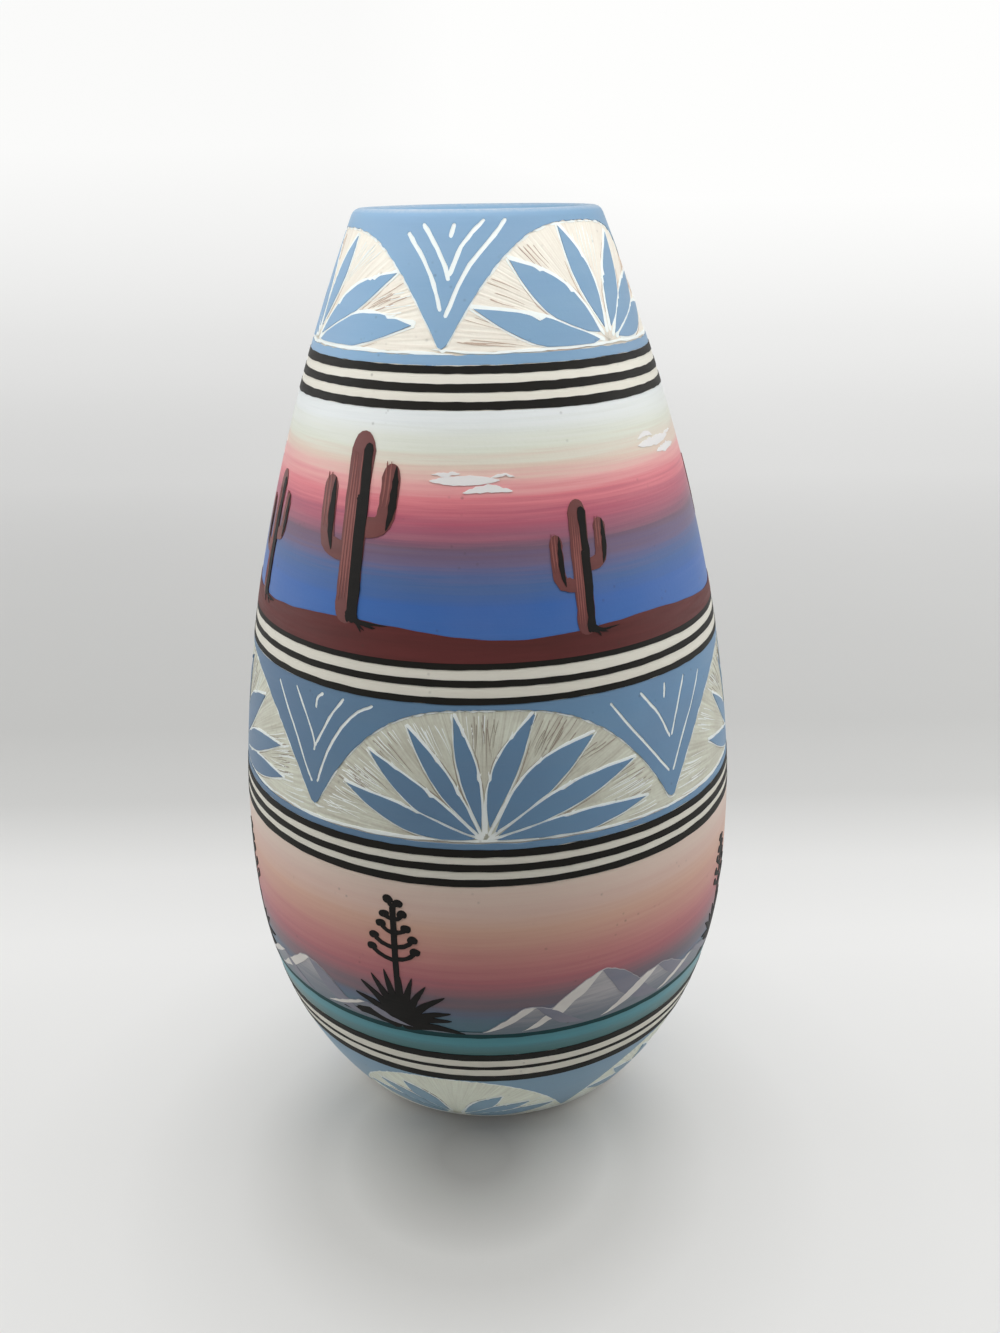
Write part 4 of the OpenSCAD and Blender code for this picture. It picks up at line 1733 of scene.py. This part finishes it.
@dataclass
class CactusStand:
    """Generic branched cacti over the upper sky, with ribs and black shade."""

    wall: Wall
    ground: DuneGround
    places: tuple[Flat, ...] = ((-33, 1.0), (24, 0.68), (97, 0.9), (163, 0.62), (236, 0.97), (291, 0.72))
    height: float = 46.0
    trunk_w: float = 7.0
    arm_w: float = 4.8
    reach: float = 8.8
    seed: int = 5

    def arm(self, side: float, size: float, start: float, top: float) -> list[Flat]:
        """Draws an arm that leaves the trunk at one level and turns up to another.

        Args:
            side: -1 is a left arm, 1 a right one.
            size: Size of the plant as a share of the largest.
            start: Level where it leaves the trunk.
            top: Level where it ends.

        Returns:
            Its points.
        """
        out = side * size * self.reach
        turn = size * self.arm_w
        return [
            (0.0, start), (0.55 * out, start + 0.05 * turn), (0.9 * out, start + 0.3 * turn),
            (out, start + turn), (1.02 * out, mix(start, top, 0.65)), (out, top),
        ]

    def paint(
        self, size: float, canvas: Canvas, tall: float, brushes: Sequence[Brush], rng: random.Random,
    ) -> None:
        """Paints one plant with its ribs and its shade.

        Args:
            size: Size of the plant as a share of the largest.
            canvas: Where it is drawn, from the middle of its foot.
            tall: Its height.
            brushes: What paints the stems, the ribs and the shade.
            rng: Stray of the hand.
        """
        stems, ribs, shade = brushes
        over, top = Layer.OVER.value, Layer.SHADE.value
        trunk_w, arm_w = size * self.trunk_w, size * self.arm_w
        lean = rng.uniform(-0.6, 0.6)
        trunk = [(0.0, -0.4), (0.1, 0.3 * tall), (0.3 * lean, 0.65 * tall), (lean, tall + 0.5 * trunk_w)]
        low_arm = self.arm(-1.0, size, 0.4 * tall, 0.76 * tall + 0.5 * arm_w)
        high_arm = self.arm(1.0, size, 0.55 * tall, 0.86 * tall + 0.5 * arm_w)
        for points, width in ((low_arm, arm_w), (high_arm, arm_w), (trunk, trunk_w)):
            stems.stroke(canvas, points, width, over - 0.02, Tip.ROUND, shake=0.3, crown=0.04)
        for offset in (-0.38, -0.25, -0.12, 0.02):
            x = offset * trunk_w
            low, high = rng.uniform(0.05, 0.14) * tall, rng.uniform(0.86, 0.99) * tall
            points = [(x, low), (0.95 * x + 0.2 * lean, 0.5 * tall), (0.85 * x + 0.8 * lean, high)]
            ribs.stroke(canvas, points, 0.6 * size, over + 0.06, Tip.POINTED, shake=0.12)
        for arm in (low_arm, high_arm):
            for offset in (-0.3, -0.06):
                points = [(x + offset * arm_w, y + 0.1 * arm_w) for x, y in arm[3:]]
                ribs.stroke(canvas, points, 0.5 * size, over + 0.06, Tip.POINTED, shake=0.1)
        for offset, width, end in ((0.3, 0.38, 1.02), (0.12, 0.2, rng.uniform(0.6, 0.8))):
            x = offset * trunk_w
            points = [
                (x, 0.0), (x + 0.1, 0.3 * tall),
                (x + 0.3 * lean, 0.65 * tall), (0.75 * x + lean, end * tall),
            ]
            shade.stroke(canvas, points, width * trunk_w, top, Tip.ROUND, shake=0.55)
        for arm in (low_arm, high_arm):
            dips = (0.35, 0.1, 0.1, 0.1)
            points = [(x + 0.26 * arm_w, y - dip * arm_w) for dip, (x, y) in zip(dips, arm[2:])]
            shade.stroke(canvas, points, 0.4 * arm_w, top, Tip.POINTED, shake=0.35)
        for j in range(5):
            x = rng.uniform(0.0, 0.45) * trunk_w
            end = (x + size * (2.2 + 2.3 * j), -1.4 + 0.45 * j + rng.uniform(-0.5, 0.2))
            points = [(x, 2.6 * size), (mix(x, end[0], 0.35), 0.6 * size), end]
            shade.stroke(canvas, points, 1.3 * size, top, Tip.TAPERED, shake=0.3)

    def build(self, palette: Palette) -> None:
        """Paints every plant.

        Args:
            palette: Finishes of the vase.
        """
        rng = random.Random(self.seed)
        brushes = Brush(columns=22, rows=4), Brush(columns=14), Brush()
        for azimuth, size in self.places:
            foot = self.ground.crest(azimuth) - 1.0
            tall = size * self.height + self.ground.middle - foot
            self.paint(size, Canvas(self.wall, azimuth, foot), tall, brushes, rng)
        stems, ribs, shade = brushes
        Shelf.add(stems.finish("cactus_stems", OVER_T), palette.cactus, "cactus_red", "cactus_plants")
        Shelf.add(ribs.finish("cactus_ribs", LINE_T), palette.rib, "cactus_red")
        Shelf.add(shade.finish("cactus_dark_sides", LINE_T), palette.plant, "plant_black", "cactus_shade")


@dataclass
class CloudDrift:
    """White streaks of cloud over the upper sky."""

    wall: Wall
    ground_level: float = DUNE_LEVEL
    seed: int = 8
    places: tuple[Flat, ...] = ((-4, 36), (58, 40), (128, 35), (196, 41), (268, 37))
    streaks: tuple[tuple[float, float, float, float], ...] = (
        (0.0, 0.0, 17.0, 2.3), (5.6, -2.6, 12.0, 1.7), (-4.4, 1.5, 7.0, 1.1), (9.0, 0.7, 6.0, 0.7),
    )

    def build(self, palette: Palette) -> None:
        """Paints each cloud in a few dry strokes.

        Args:
            palette: Finishes of the vase.
        """
        rng = random.Random(self.seed)
        brush = Brush(columns=20)
        for azimuth, rise in self.places:
            canvas = Canvas(self.wall, azimuth, self.ground_level + rise)
            for x, y, length, width in self.streaks:
                bend = rng.uniform(-0.5, 0.5)
                points = [(x - length / 2, y), (x, y + 0.5 + bend), (x + length / 2, y + 0.2)]
                brush.stroke(canvas, points, width, Layer.OVER.value - 0.05, Tip.POINTED, shake=0.5)
        Shelf.add(brush.finish("cloud_strokes", LINE_T), palette.cloud, "cloud_white", "cloud_streaks")


@dataclass
class PaleHills:
    """Pale hills along the horizon of the lower sky, with lit and shaded flanks in dry strokes."""

    wall: Wall
    horizon: float = HORIZON
    height: float = 16.0
    curve: float = 1.4
    places: tuple[Triple, ...] = (
        (10, 0.5, 12), (25, 1.0, 18), (41, 0.62, 16), (55, 0.35, 14),
        (99, 0.55, 15), (114, 0.93, 18), (131, 0.4, 14),
        (170, 0.45, 13), (184, 0.8, 17), (201, 0.5, 14),
        (237, 0.6, 14), (252, 1.0, 18), (269, 0.5, 15),
        (303, 0.4, 12), (315, 0.73, 16), (331, 0.3, 12),
    )

    def swell(self, azimuth: float, middle: float, share: float, half: float) -> float:
        """Height of one hill at an azimuth."""
        away = abs((azimuth - middle + 540.0) % 360.0 - 180.0) / half
        return share * self.height * math.cos(0.5 * math.pi * away) ** self.curve if away < 1.0 else 0.0

    def roughen(self, azimuth: float, rise: float) -> float:
        """Height with the stray of the brush."""
        slow = 0.1 * rise * ring_noise(azimuth, 12.0, 2.0)
        return rise + slow + 0.35 * ease(rise, 0.0, 2.0) * ring_noise(azimuth, 38.0, 6.0)

    def crest(self, azimuth: float) -> float:
        """Height of the range over the horizon at an azimuth."""
        return self.roughen(azimuth, max(self.swell(azimuth, *place) for place in self.places))

    def face(self, place: Triple, side: float, hollow: float) -> Piece:
        """Lays one face of a hill, the crescent between its crest and a hollow curve below it.

        Args:
            place: Azimuth, share of the full height and half width of the hill.
            side: -1 is the left face, 1 the right one.
            hollow: Power of the lower curve, higher is broader.

        Returns:
            The face, still a sheet.
        """
        middle, share, half = place
        lift = Layer.OVER.value + 0.05 * (1.0 - share)

        def spot(u: float, v: float) -> Vector:
            """Places a point of the face.

            Args:
                u: Share of the way from its left end to its right one.
                v: Share of the way from the hollow curve up to the crest.

            Returns:
                The point in metres.
            """
            away = u if side > 0.0 else 1.0 - u
            azimuth = middle + side * half * away
            crest = self.roughen(azimuth, self.swell(azimuth, *place)) - 0.2
            rag = 1.0 + 0.16 * noise.noise(Vector((0.35 * azimuth, 3.0 * side, 7.0)))
            low = share * self.height * (1.0 - away) ** (hollow * rag)
            return self.wall.point(azimuth, self.horizon + mix(min(low, crest), crest, v), lift)

        return Bench.lay(Bench.grid("hill_face", columns=28, rows=4), spot)

    def build(self, palette: Palette) -> None:
        """Lays the hills over the sky, then their lit and shaded faces.

        Args:
            palette: Finishes of the vase.
        """

        def level(azimuth: float, share: float) -> float:
            """Level of a point at an azimuth and a share of the way up."""
            return self.horizon - 0.8 + share * (0.8 + self.crest(azimuth))

        piece = Bench.grid("hill_range", columns=540, rows=6)
        self.wall.ring(piece, level, Layer.OVER.value - 0.06, OVER_T)
        Shelf.add(piece, palette.hills, "hill_grey", "pale_hills")
        faces = (
            ("hill_lit_faces", -1.0, 1.7, palette.hill_light),
            ("hill_shaded_faces", 1.0, 2.6, palette.hill_shade),
        )
        for name, side, hollow, finish in faces:
            piece = Bench.join([self.face(place, side, hollow) for place in self.places], name)
            Shelf.add(Bench.coat(piece, FACE_T), finish, "hill_grey")


@dataclass
class AgaveRow:
    """Generic agaves in flower, painted black over the lower sky."""

    wall: Wall
    horizon: float = HORIZON
    places: tuple[Flat, ...] = ((-20, 1.0), (70, 0.85), (142, 1.0), (214, 0.8), (285, 0.95))
    blade: float = 19.0
    blades: int = 13
    stalk: float = 40.0
    stalk_w: float = 1.7
    tiers: int = 5
    tier_gap: float = 3.7
    flower_w: float = 1.4
    flower_d: float = 2.6
    climb: float = 0.45
    seed: int = 12

    def paint_rosette(self, brush: Brush, canvas: Canvas, size: float, rng: random.Random) -> None:
        """Paints the blades of one plant.

        Args:
            brush: What paints it.
            canvas: Where it is drawn, from the middle of its foot.
            size: Size of the plant as a share of the largest.
            rng: Stray of the hand.
        """
        layer = Layer.OVER.value - 0.03
        for i in range(self.blades):
            angle = math.radians(mix(5.0, 175.0, i / (self.blades - 1)) + rng.uniform(-4.0, 4.0))
            length = size * self.blade * rng.uniform(0.76, 1.02)
            droop = -0.14 * length * abs(math.cos(angle))
            points = [
                (0.0, 0.3), (0.5 * length * math.cos(angle), 0.55 * length * math.sin(angle) + 0.6),
                (length * math.cos(angle), length * math.sin(angle) + droop + 0.8),
            ]
            brush.stroke(canvas, points, 3.3 * size, layer, Tip.TAPERED, shake=0.3)

    def paint_flowers(self, brush: Brush, canvas: Canvas, size: float, rng: random.Random) -> None:
        """Paints the stalk of one plant with its raised branches and flower heads.

        Args:
            brush: What paints it.
            canvas: Where it is drawn, from the middle of its foot.
            size: Size of the plant as a share of the largest.
            rng: Stray of the hand.
        """
        layer = Layer.OVER.value - 0.03
        lean = rng.uniform(-1.8, 1.8)
        tall = size * self.stalk
        stalk = [(0.0, 0.0), (0.2 * lean, 0.5 * tall), (lean, tall)]
        brush.stroke(canvas, stalk, self.stalk_w, layer, Tip.ROUND, shake=0.2)
        for i in range(self.tiers):
            level = tall - size * self.tier_gap * i
            x = lean * (level / tall) ** 2
            for side in (-1.0, 1.0):
                out = size * self.flower_w * (1 + i) * rng.uniform(0.8, 1.08)
                end = (x + side * out, level + rng.uniform(-0.5, 0.5))
                branch = [(x, level - self.climb * out), (x + 0.55 * side * out, level - 0.3 * out), end]
                brush.stroke(canvas, branch, 0.7 * self.stalk_w, layer, Tip.ROUND, shake=0.15)
                head = 0.5 * size * self.flower_d
                x_end, y_end = end
                points = [(x_end - head, y_end - 0.1), (x_end, y_end + 0.5 * head), (x_end + head, y_end)]
                brush.stroke(canvas, points, 1.7 * head, layer, Tip.ROUND, shake=0.4)

    def build(self, palette: Palette) -> None:
        """Paints every plant in tapered strokes.

        Args:
            palette: Finishes of the vase.
        """
        rng = random.Random(self.seed)
        brush = Brush()
        for azimuth, size in self.places:
            canvas = Canvas(self.wall, azimuth, self.horizon - 0.6)
            self.paint_rosette(brush, canvas, size, rng)
            self.paint_flowers(brush, canvas, size, rng)
        Shelf.add(brush.finish("agave_strokes", OVER_T), palette.plant, "plant_black", "agave_plants")


@dataclass
class Studio:
    """Room of pale paper, soft lamps and the camera, in metres.

    Attributes:
        room: Width, depth and height of the room.
        sink: How far its floor lies under the foot.
        sweep: Radius of the bend from its floor to its back wall.
        paper: Colour of the white light that the paper shows.
        grey: Colour of the paper under that light.
        dark: Colour of the painted shadow on the paper, in its core.
        bounce: Colour by which the paper lights the vase.
        painted_shadow_at: Middle of the painted shadow at the foot.
        core: Distances from it where its core ends and where it is full.
        pool: Steps of the light's share by that distance, the painted shadow's edge, each its near end, far
            end and gain.
        across: Steps of the share along X, which paint the +X side lighter.
        back: Steps of the share along Y, in the wedge behind the vase, which paint a darker band behind it.
        wedge: Widening of the wedge with Y, and the distances beside it where the steps fade.
        plain: Share beside the wedge.
        aim: What the lamps point at.
        lamps: Name, place, width and height, and power in watts of each lamp.
        camera_at: Place of the camera.
        camera_dip: Degrees that it looks down.
        camera_roll: Degrees that it leans.
        sensor: Width of its sensor, in millimetres.
        lens: Its focal length, in millimetres.
        clip: Distance where it begins to see.
    """

    room: Triple = (6.0, 6.0, 3.0)
    sink: float = 0.0002
    sweep: float = 1.6
    paper: Colour = (254, 254, 253)
    grey: Colour = (200, 200, 197)
    dark: Colour = (138, 138, 135)
    bounce: Colour = (219, 219, 216)
    painted_shadow_at: Triple = (-0.005, -0.062, 0.0)
    core: Flat = (0.038, 0.010)
    pool: tuple[Triple, ...] = (
        (0.03, 0.046, 0.06), (0.046, 0.068, 0.27), (0.068, 0.1, 0.17), (0.1, 0.135, 0.06),
    )
    across: tuple[Triple, ...] = ((-0.3, 0.3, 0.08),)
    back: tuple[Triple, ...] = (
        (-0.06, 0.035, 0.14), (0.05, 0.1, -0.09), (0.1, 0.16, -0.26), (0.16, 0.24, -0.06),
        (0.24, 0.445, 0.13), (0.445, 0.8, 0.19), (0.8, 1.7, 0.16), (1.7, 2.36, 0.2),
    )
    wedge: Triple = (0.47, 0.185, 0.45)
    plain: float = 0.25
    aim: Triple = (0.0, 0.0, 0.14)
    lamps: tuple[tuple[str, Triple, Flat, float], ...] = (
        ("top_lamp", (0.0, -0.15, 0.48), (0.7, 0.2), 1.6),
        ("left_lamp", (-0.75, 0.05, 0.40), (0.6, 0.6), 2.6),
        ("right_lamp", (0.75, 0.05, 0.40), (0.6, 0.6), 2.6),
    )
    camera_at: Triple = (0.0041, -0.3487, 0.262)
    camera_dip: float = 21.367
    camera_roll: float = -0.888
    sensor: float = 36.0
    lens: float = 34.02
    clip: float = 0.01

    def build_room(self) -> None:
        """Makes a room of pale paper round the vase, with its floor bent up into the back wall."""
        bpy.ops.object.select_all(action="DESELECT")
        centre = (0.0, 0.0, 0.5 * self.room[2] - self.sink)
        bpy.ops.mesh.primitive_cube_add(size=1.0, location=centre, scale=self.room)
        room = bpy.context.object
        room.name = "studio_room"
        bpy.ops.object.transform_apply(location=True, scale=True)
        bpy.ops.object.mode_set(mode="EDIT")
        bpy.ops.mesh.select_mode(type="EDGE")
        bpy.ops.mesh.select_all(action="DESELECT")
        bpy.ops.object.mode_set(mode="OBJECT")
        mesh = room.data
        for edge in mesh.edges:
            ends = [mesh.vertices[i].co for i in edge.vertices]
            edge.select = all(end.y > 1.0 and end.z < 1.0 for end in ends)
        bpy.ops.object.mode_set(mode="EDIT")
        bpy.ops.mesh.bevel(offset=self.sweep, segments=24)
        bpy.ops.object.mode_set(mode="OBJECT")
        Bench.smooth(room, angle=60.0)
        room.data.materials.append(self.paper_material())

    @staticmethod
    def profile(graph: Graph, value: Socket, steps: Sequence[Triple]) -> Socket:
        """Adds up a share that grows along a value by steps.

        Args:
            graph: The material's graph.
            value: The value.
            steps: Where each step begins, where it ends and what it adds.

        Returns:
            The share.
        """
        share: Socket | float = 0.0
        for near, far, gain in steps:
            share = graph.math("ADD", share, graph.spread(value, near, far, 0.0, gain))
        return share

    def paper_material(self) -> bpy.types.Material:
        """Builds pale paper that the camera sees partly as white light, with painted shade: a painted
        shadow at the foot, a darker band behind the vase and a lighter +X side.

        Returns:
            The material.
        """
        material = bpy.data.materials.new("studio_paper")
        material.use_nodes = True
        graph = Graph(material.node_tree)
        shader = material.node_tree.nodes["Principled BSDF"]
        grain = graph.group(Effects.grain(), Size=400.0)
        where = graph.where()
        aside = graph.node("VectorMath", operation="DISTANCE")
        away = graph.fill(aside, where, self.painted_shadow_at).outputs["Value"]
        cloud = graph.math("MULTIPLY", grain.outputs["Cloud"], 0.3)
        tint = graph.blend(cloud, linear(self.grey), linear(tuple(part - 5 for part in self.grey)))
        # Painted shadow: the paper's colour goes to dark in the core round the foot.
        tint = graph.blend(graph.spread(away, *self.core), tint, linear(self.dark))
        path = graph.node("LightPath")
        tint = graph.blend(path.outputs["Is Camera Ray"], linear(self.bounce), tint)
        graph.fill(shader, **{"Base Color": tint, "Roughness": 0.9})
        glow = graph.fill(graph.node("Emission"), Color=linear(self.paper))
        seen = graph.math("MAXIMUM", path.outputs["Is Camera Ray"], path.outputs["Is Glossy Ray"])
        seen = graph.math("MAXIMUM", seen, path.outputs["Is Transmission Ray"])
        axes = graph.axes(where)
        x, y = axes["X"], axes["Y"]
        # The white light's share paints shade: less of it near the foot and in a band behind the vase, more
        # of it towards +X.
        widen, near, far = self.wedge
        beside = graph.math("MULTIPLY_ADD", y, -widen, graph.math("ABSOLUTE", x))
        back = graph.math("SUBTRACT", self.profile(graph, y, self.back), self.plain)
        share = graph.math("MULTIPLY_ADD", back, graph.spread(beside, near, far, 1.0, 0.0), self.plain)
        for value, steps in ((away, self.pool), (x, self.across)):
            share = graph.math("ADD", share, self.profile(graph, value, steps))
        share = graph.math("MULTIPLY", seen, share, clamp=True)
        both = graph.fill(graph.node("MixShader"), share, shader.outputs[0], glow.outputs[0])
        graph.feed(material.node_tree.nodes["Material Output"].inputs["Surface"], both.outputs[0])
        return material

    def build_light(self) -> None:
        """Hangs soft rectangular lamps; the room's pale walls give the rest of the light."""
        for name, spot, size, power in self.lamps:
            bpy.ops.object.light_add(type="AREA", location=spot)
            lamp = bpy.context.object
            lamp.name = name
            lamp.rotation_euler = (Vector(self.aim) - Vector(spot)).to_track_quat("-Z", "Y").to_euler()
            lamp.data.shape = "RECTANGLE"
            lamp.data.size, lamp.data.size_y = size
            lamp.data.energy = power

    def build_camera(self) -> None:
        """Sets the camera where the photograph was taken from."""
        bpy.ops.object.camera_add()
        camera = bpy.context.object
        camera.name = "photo_camera"
        tilt = Matrix.Rotation(math.radians(90.0 - self.camera_dip), 4, "X")
        roll = Matrix.Rotation(math.radians(self.camera_roll), 4, "Z")
        camera.matrix_world = Matrix.Translation(self.camera_at) @ tilt @ roll
        camera.data.sensor_fit = "AUTO"
        camera.data.sensor_width = self.sensor
        camera.data.lens = self.lens
        camera.data.clip_start = self.clip
        bpy.context.scene.camera = camera

    def build(self) -> None:
        """Sets up the whole studio."""
        self.build_room()
        self.build_light()
        self.build_camera()
        bpy.context.scene.view_settings.view_transform = "Standard"


def rim_band(wall: Wall, palette: Palette) -> EtchedBand:
    """Etched band at the rim.

    Args:
        wall: Outside face of the clay.
        palette: Finishes of the vase.

    Returns:
        The band.
    """
    tips, apexes = (-11.4, 108.8, 228.8), (48.2, 168.8, 288.6)
    right = (
        (16.5, 25.5, 6.2, 0.0), (35.0, 26.4, 6.6, 0.0), (63.5, 28.0, 6.2, 0.0),
        (105.0, 28.2, 5.8, -0.6), (138.6, 30.3, 9.0, 0.7), (164.8, 36.2, 6.8, 1.5),
    )
    left = (
        (9.0, 36.4, 7.4, 0.9), (33.0, 31.6, 6.4, 0.6), (73.3, 26.3, 5.4, 0.0),
        (108.0, 27.4, 5.8, 0.0), (142.0, 29.0, 7.0, 0.0), (166.0, 33.0, 6.6, 0.0),
    )
    strokes = [
        [(-10.1, -4.8), (-6.2, -9.9), (-3.1, -15.4), (-0.7, -22.4)],
        [(13.7, -1.9), (10.1, -6.7), (5.7, -12.1), (2.9, -17.6), (0.4, -23.8)],
        [(-6.2, -2.8), (-2.8, -7.6), (-0.3, -12.1), (0.9, -15.6)],
        [(8.6, -2.0), (5.3, -5.5), (3.1, -8.8), (0.9, -14.6)],
        [(1.5, -2.8), (0.8, -6.1)],
    ]
    fans = fan_row(
        tips, rises=(0.5, 0.8, 0.6), apexes=apexes, pattern=right, seed=3,
        exact={0: right, 2: left}, nick=0.9, drops=(0.4, 1.0, 1.7),
    )
    return RimBand(
        "rim", wall, foot=222.8, top=251.6, roof=wall.height, border=219.8,
        fans=fans, chevrons=[(tip, strokes) for tip in tips], slot="rim_blue", seed=21,
        finish=palette.rim_blue, bared=palette.rim_etched, marked=palette.rim_hatch,
        power=3.0, scratch_w=1.1, outline_w=0.9, dull_marks=46, fresh_marks=16, mark_l=(5.0, 13.0),
    )


def middle_band(wall: Wall, palette: Palette) -> EtchedBand:
    """Etched band round the middle.

    Args:
        wall: Outside face of the clay.
        palette: Finishes of the vase.

    Returns:
        The band.
    """
    tips, apexes = (-39.3, 43.6, 137.0, 229.0), (-0.4, 90.5, 183.0, 275.0)
    pattern = (
        (6.4, 44.8, 5.5, 0.0), (22.0, 43.4, 5.7, 1.2), (41.5, 37.8, 7.6, 1.9), (68.5, 34.6, 5.9, 1.6),
        (102.4, 32.8, 4.5, -0.2), (123.2, 34.2, 4.2, 0.2), (143.8, 36.3, 5.5, 1.0), (162.3, 38.5, 5.7, 1.2),
    )
    wide = [
        [(-17.2, -2.8), (-8.4, -14.3), (-3.5, -22.4), (-1.0, -26.2)],
        [(17.3, -2.2), (11.7, -5.5), (5.9, -13.2), (2.5, -20.8), (0.8, -25.9)],
        [(-8.8, -2.2), (-3.3, -10.2), (-0.7, -14.9), (-0.6, -17.6)],
        [(8.6, -1.8), (4.8, -6.9), (1.4, -13.0), (-0.4, -16.2)],
        [(1.8, -1.8), (-0.3, -3.6), (-0.5, -6.3)],
    ]
    straight = [
        [(-18.1, -3.1), (-13.0, -10.2), (-5.9, -19.2), (-0.3, -26.0)],
        [(17.4, -3.4), (11.8, -11.0), (6.2, -18.0), (1.0, -26.4)],
        [(-8.6, -2.6), (-3.0, -9.6), (0.8, -17.0)],
        [(9.0, -2.4), (4.4, -10.6), (1.4, -16.8)],
        [(0.5, -2.2), (-0.2, -6.2)],
    ]
    fans = fan_row(
        tips, rises=(3.2, 2.0, 2.6, 2.2), apexes=apexes, pattern=pattern, seed=4,
        exact={0: pattern}, nick=0.5,
    )
    chevrons = [(tip, (wide, straight)[k % 2]) for k, tip in enumerate(tips)]
    return EtchedBand(
        "middle", wall, foot=106.4, top=140.2, roof=MIDDLE_TOP, border=104.0,
        fans=fans, chevrons=chevrons, slot="middle_blue", seed=22,
        finish=palette.middle_blue, bared=palette.middle_etched, marked=palette.hatch,
    )


def base_band(wall: Wall, palette: Palette) -> EtchedBand:
    """Etched band at the base.

    Args:
        wall: Outside face of the clay.
        palette: Finishes of the vase.

    Returns:
        The band.
    """
    apexes = tuple(-12.0 + 72.0 * k for k in range(5))
    tips = tuple(apex - 36.0 for apex in apexes)
    pattern = (
        (11.0, 30.0, 4.2, 0.0), (27.0, 26.0, 4.2, 0.0), (47.0, 21.5, 4.8, 0.3),
        (127.0, 23.0, 5.2, -0.3), (147.0, 26.5, 4.4, 0.0), (165.0, 30.0, 4.4, 0.0),
    )
    fans = fan_row(
        tips, rises=(1.5,) * len(tips), apexes=apexes, pattern=pattern, seed=6, exact={}, nick=0.5,
    )
    return EtchedBand(
        "base", wall, foot=2.0, top=26.0, roof=BASE_TOP,
        fans=fans, chevrons=[], slot="base_blue", seed=23,
        finish=palette.base_blue, bared=palette.base_etched, marked=palette.hatch,
        power=2.6, rays=220, dull_marks=0, fresh_marks=24, mark_l=(2.5, 7.0),
    )


def main() -> None:
    """Builds the vase from the clay outwards, then the studio."""
    logging.basicConfig(level=logging.INFO, format="%(name)s %(message)s")
    wall = Wall()
    palette = Palette()
    Shelf.add(ClayBody(wall).build(), palette.clay, "clay", "clay_body")
    base_band(wall, palette).build(palette)
    StripeBand("base", wall, BASE_TOP, widths=(2.4, 1.2, 2.4), gap=2.9, seed=1.0).build(palette)
    teal = RingCoat("teal_paint_strip", wall, TEAL_LOW, TEAL_TOP)
    Shelf.add(teal.build(), palette.teal, "teal", "teal_strip")
    lower_sky = RingCoat("lower_sky_coat", wall, TEAL_TOP, LOWER_SKY_TOP)
    Shelf.add(lower_sky.build(), palette.lower_sky, "lower_sky", "lower_sky")
    horizon = RingCoat(
        "horizon_stroke", wall, TEAL_TOP, HORIZON, Layer.LINE, LINE_T,
        stray=0.35, jitter=0.2, seed=41.0, columns=360,
    )
    Shelf.add(horizon.build(), palette.horizon, "line_black", "horizon_line")
    PaleHills(wall).build(palette)
    AgaveRow(wall).build(palette)
    StripeBand("lower", wall, LOWER_SKY_TOP, widths=(2.1, 2.1, 2.1), gap=1.9, seed=2.0).build(palette)
    middle_band(wall, palette).build(palette)
    StripeBand("middle", wall, MIDDLE_TOP, widths=(1.7, 1.7, 1.7), gap=2.55, seed=3.0).build(palette)
    upper_sky = RingCoat("upper_sky_coat", wall, UPPER_SKY_LOW, UPPER_SKY_TOP)
    Shelf.add(upper_sky.build(), palette.upper_sky, "upper_sky", "upper_sky")
    ground = DuneGround(wall)
    ground.build(palette)
    CactusStand(wall, ground).build(palette)
    CloudDrift(wall).build(palette)
    StripeBand("upper", wall, UPPER_SKY_TOP, widths=(2.0, 2.0, 2.0), gap=2.1, seed=4.0).build(palette)
    rim_band(wall, palette).build(palette)
    Studio().build()


if __name__ == "__main__":
    main()
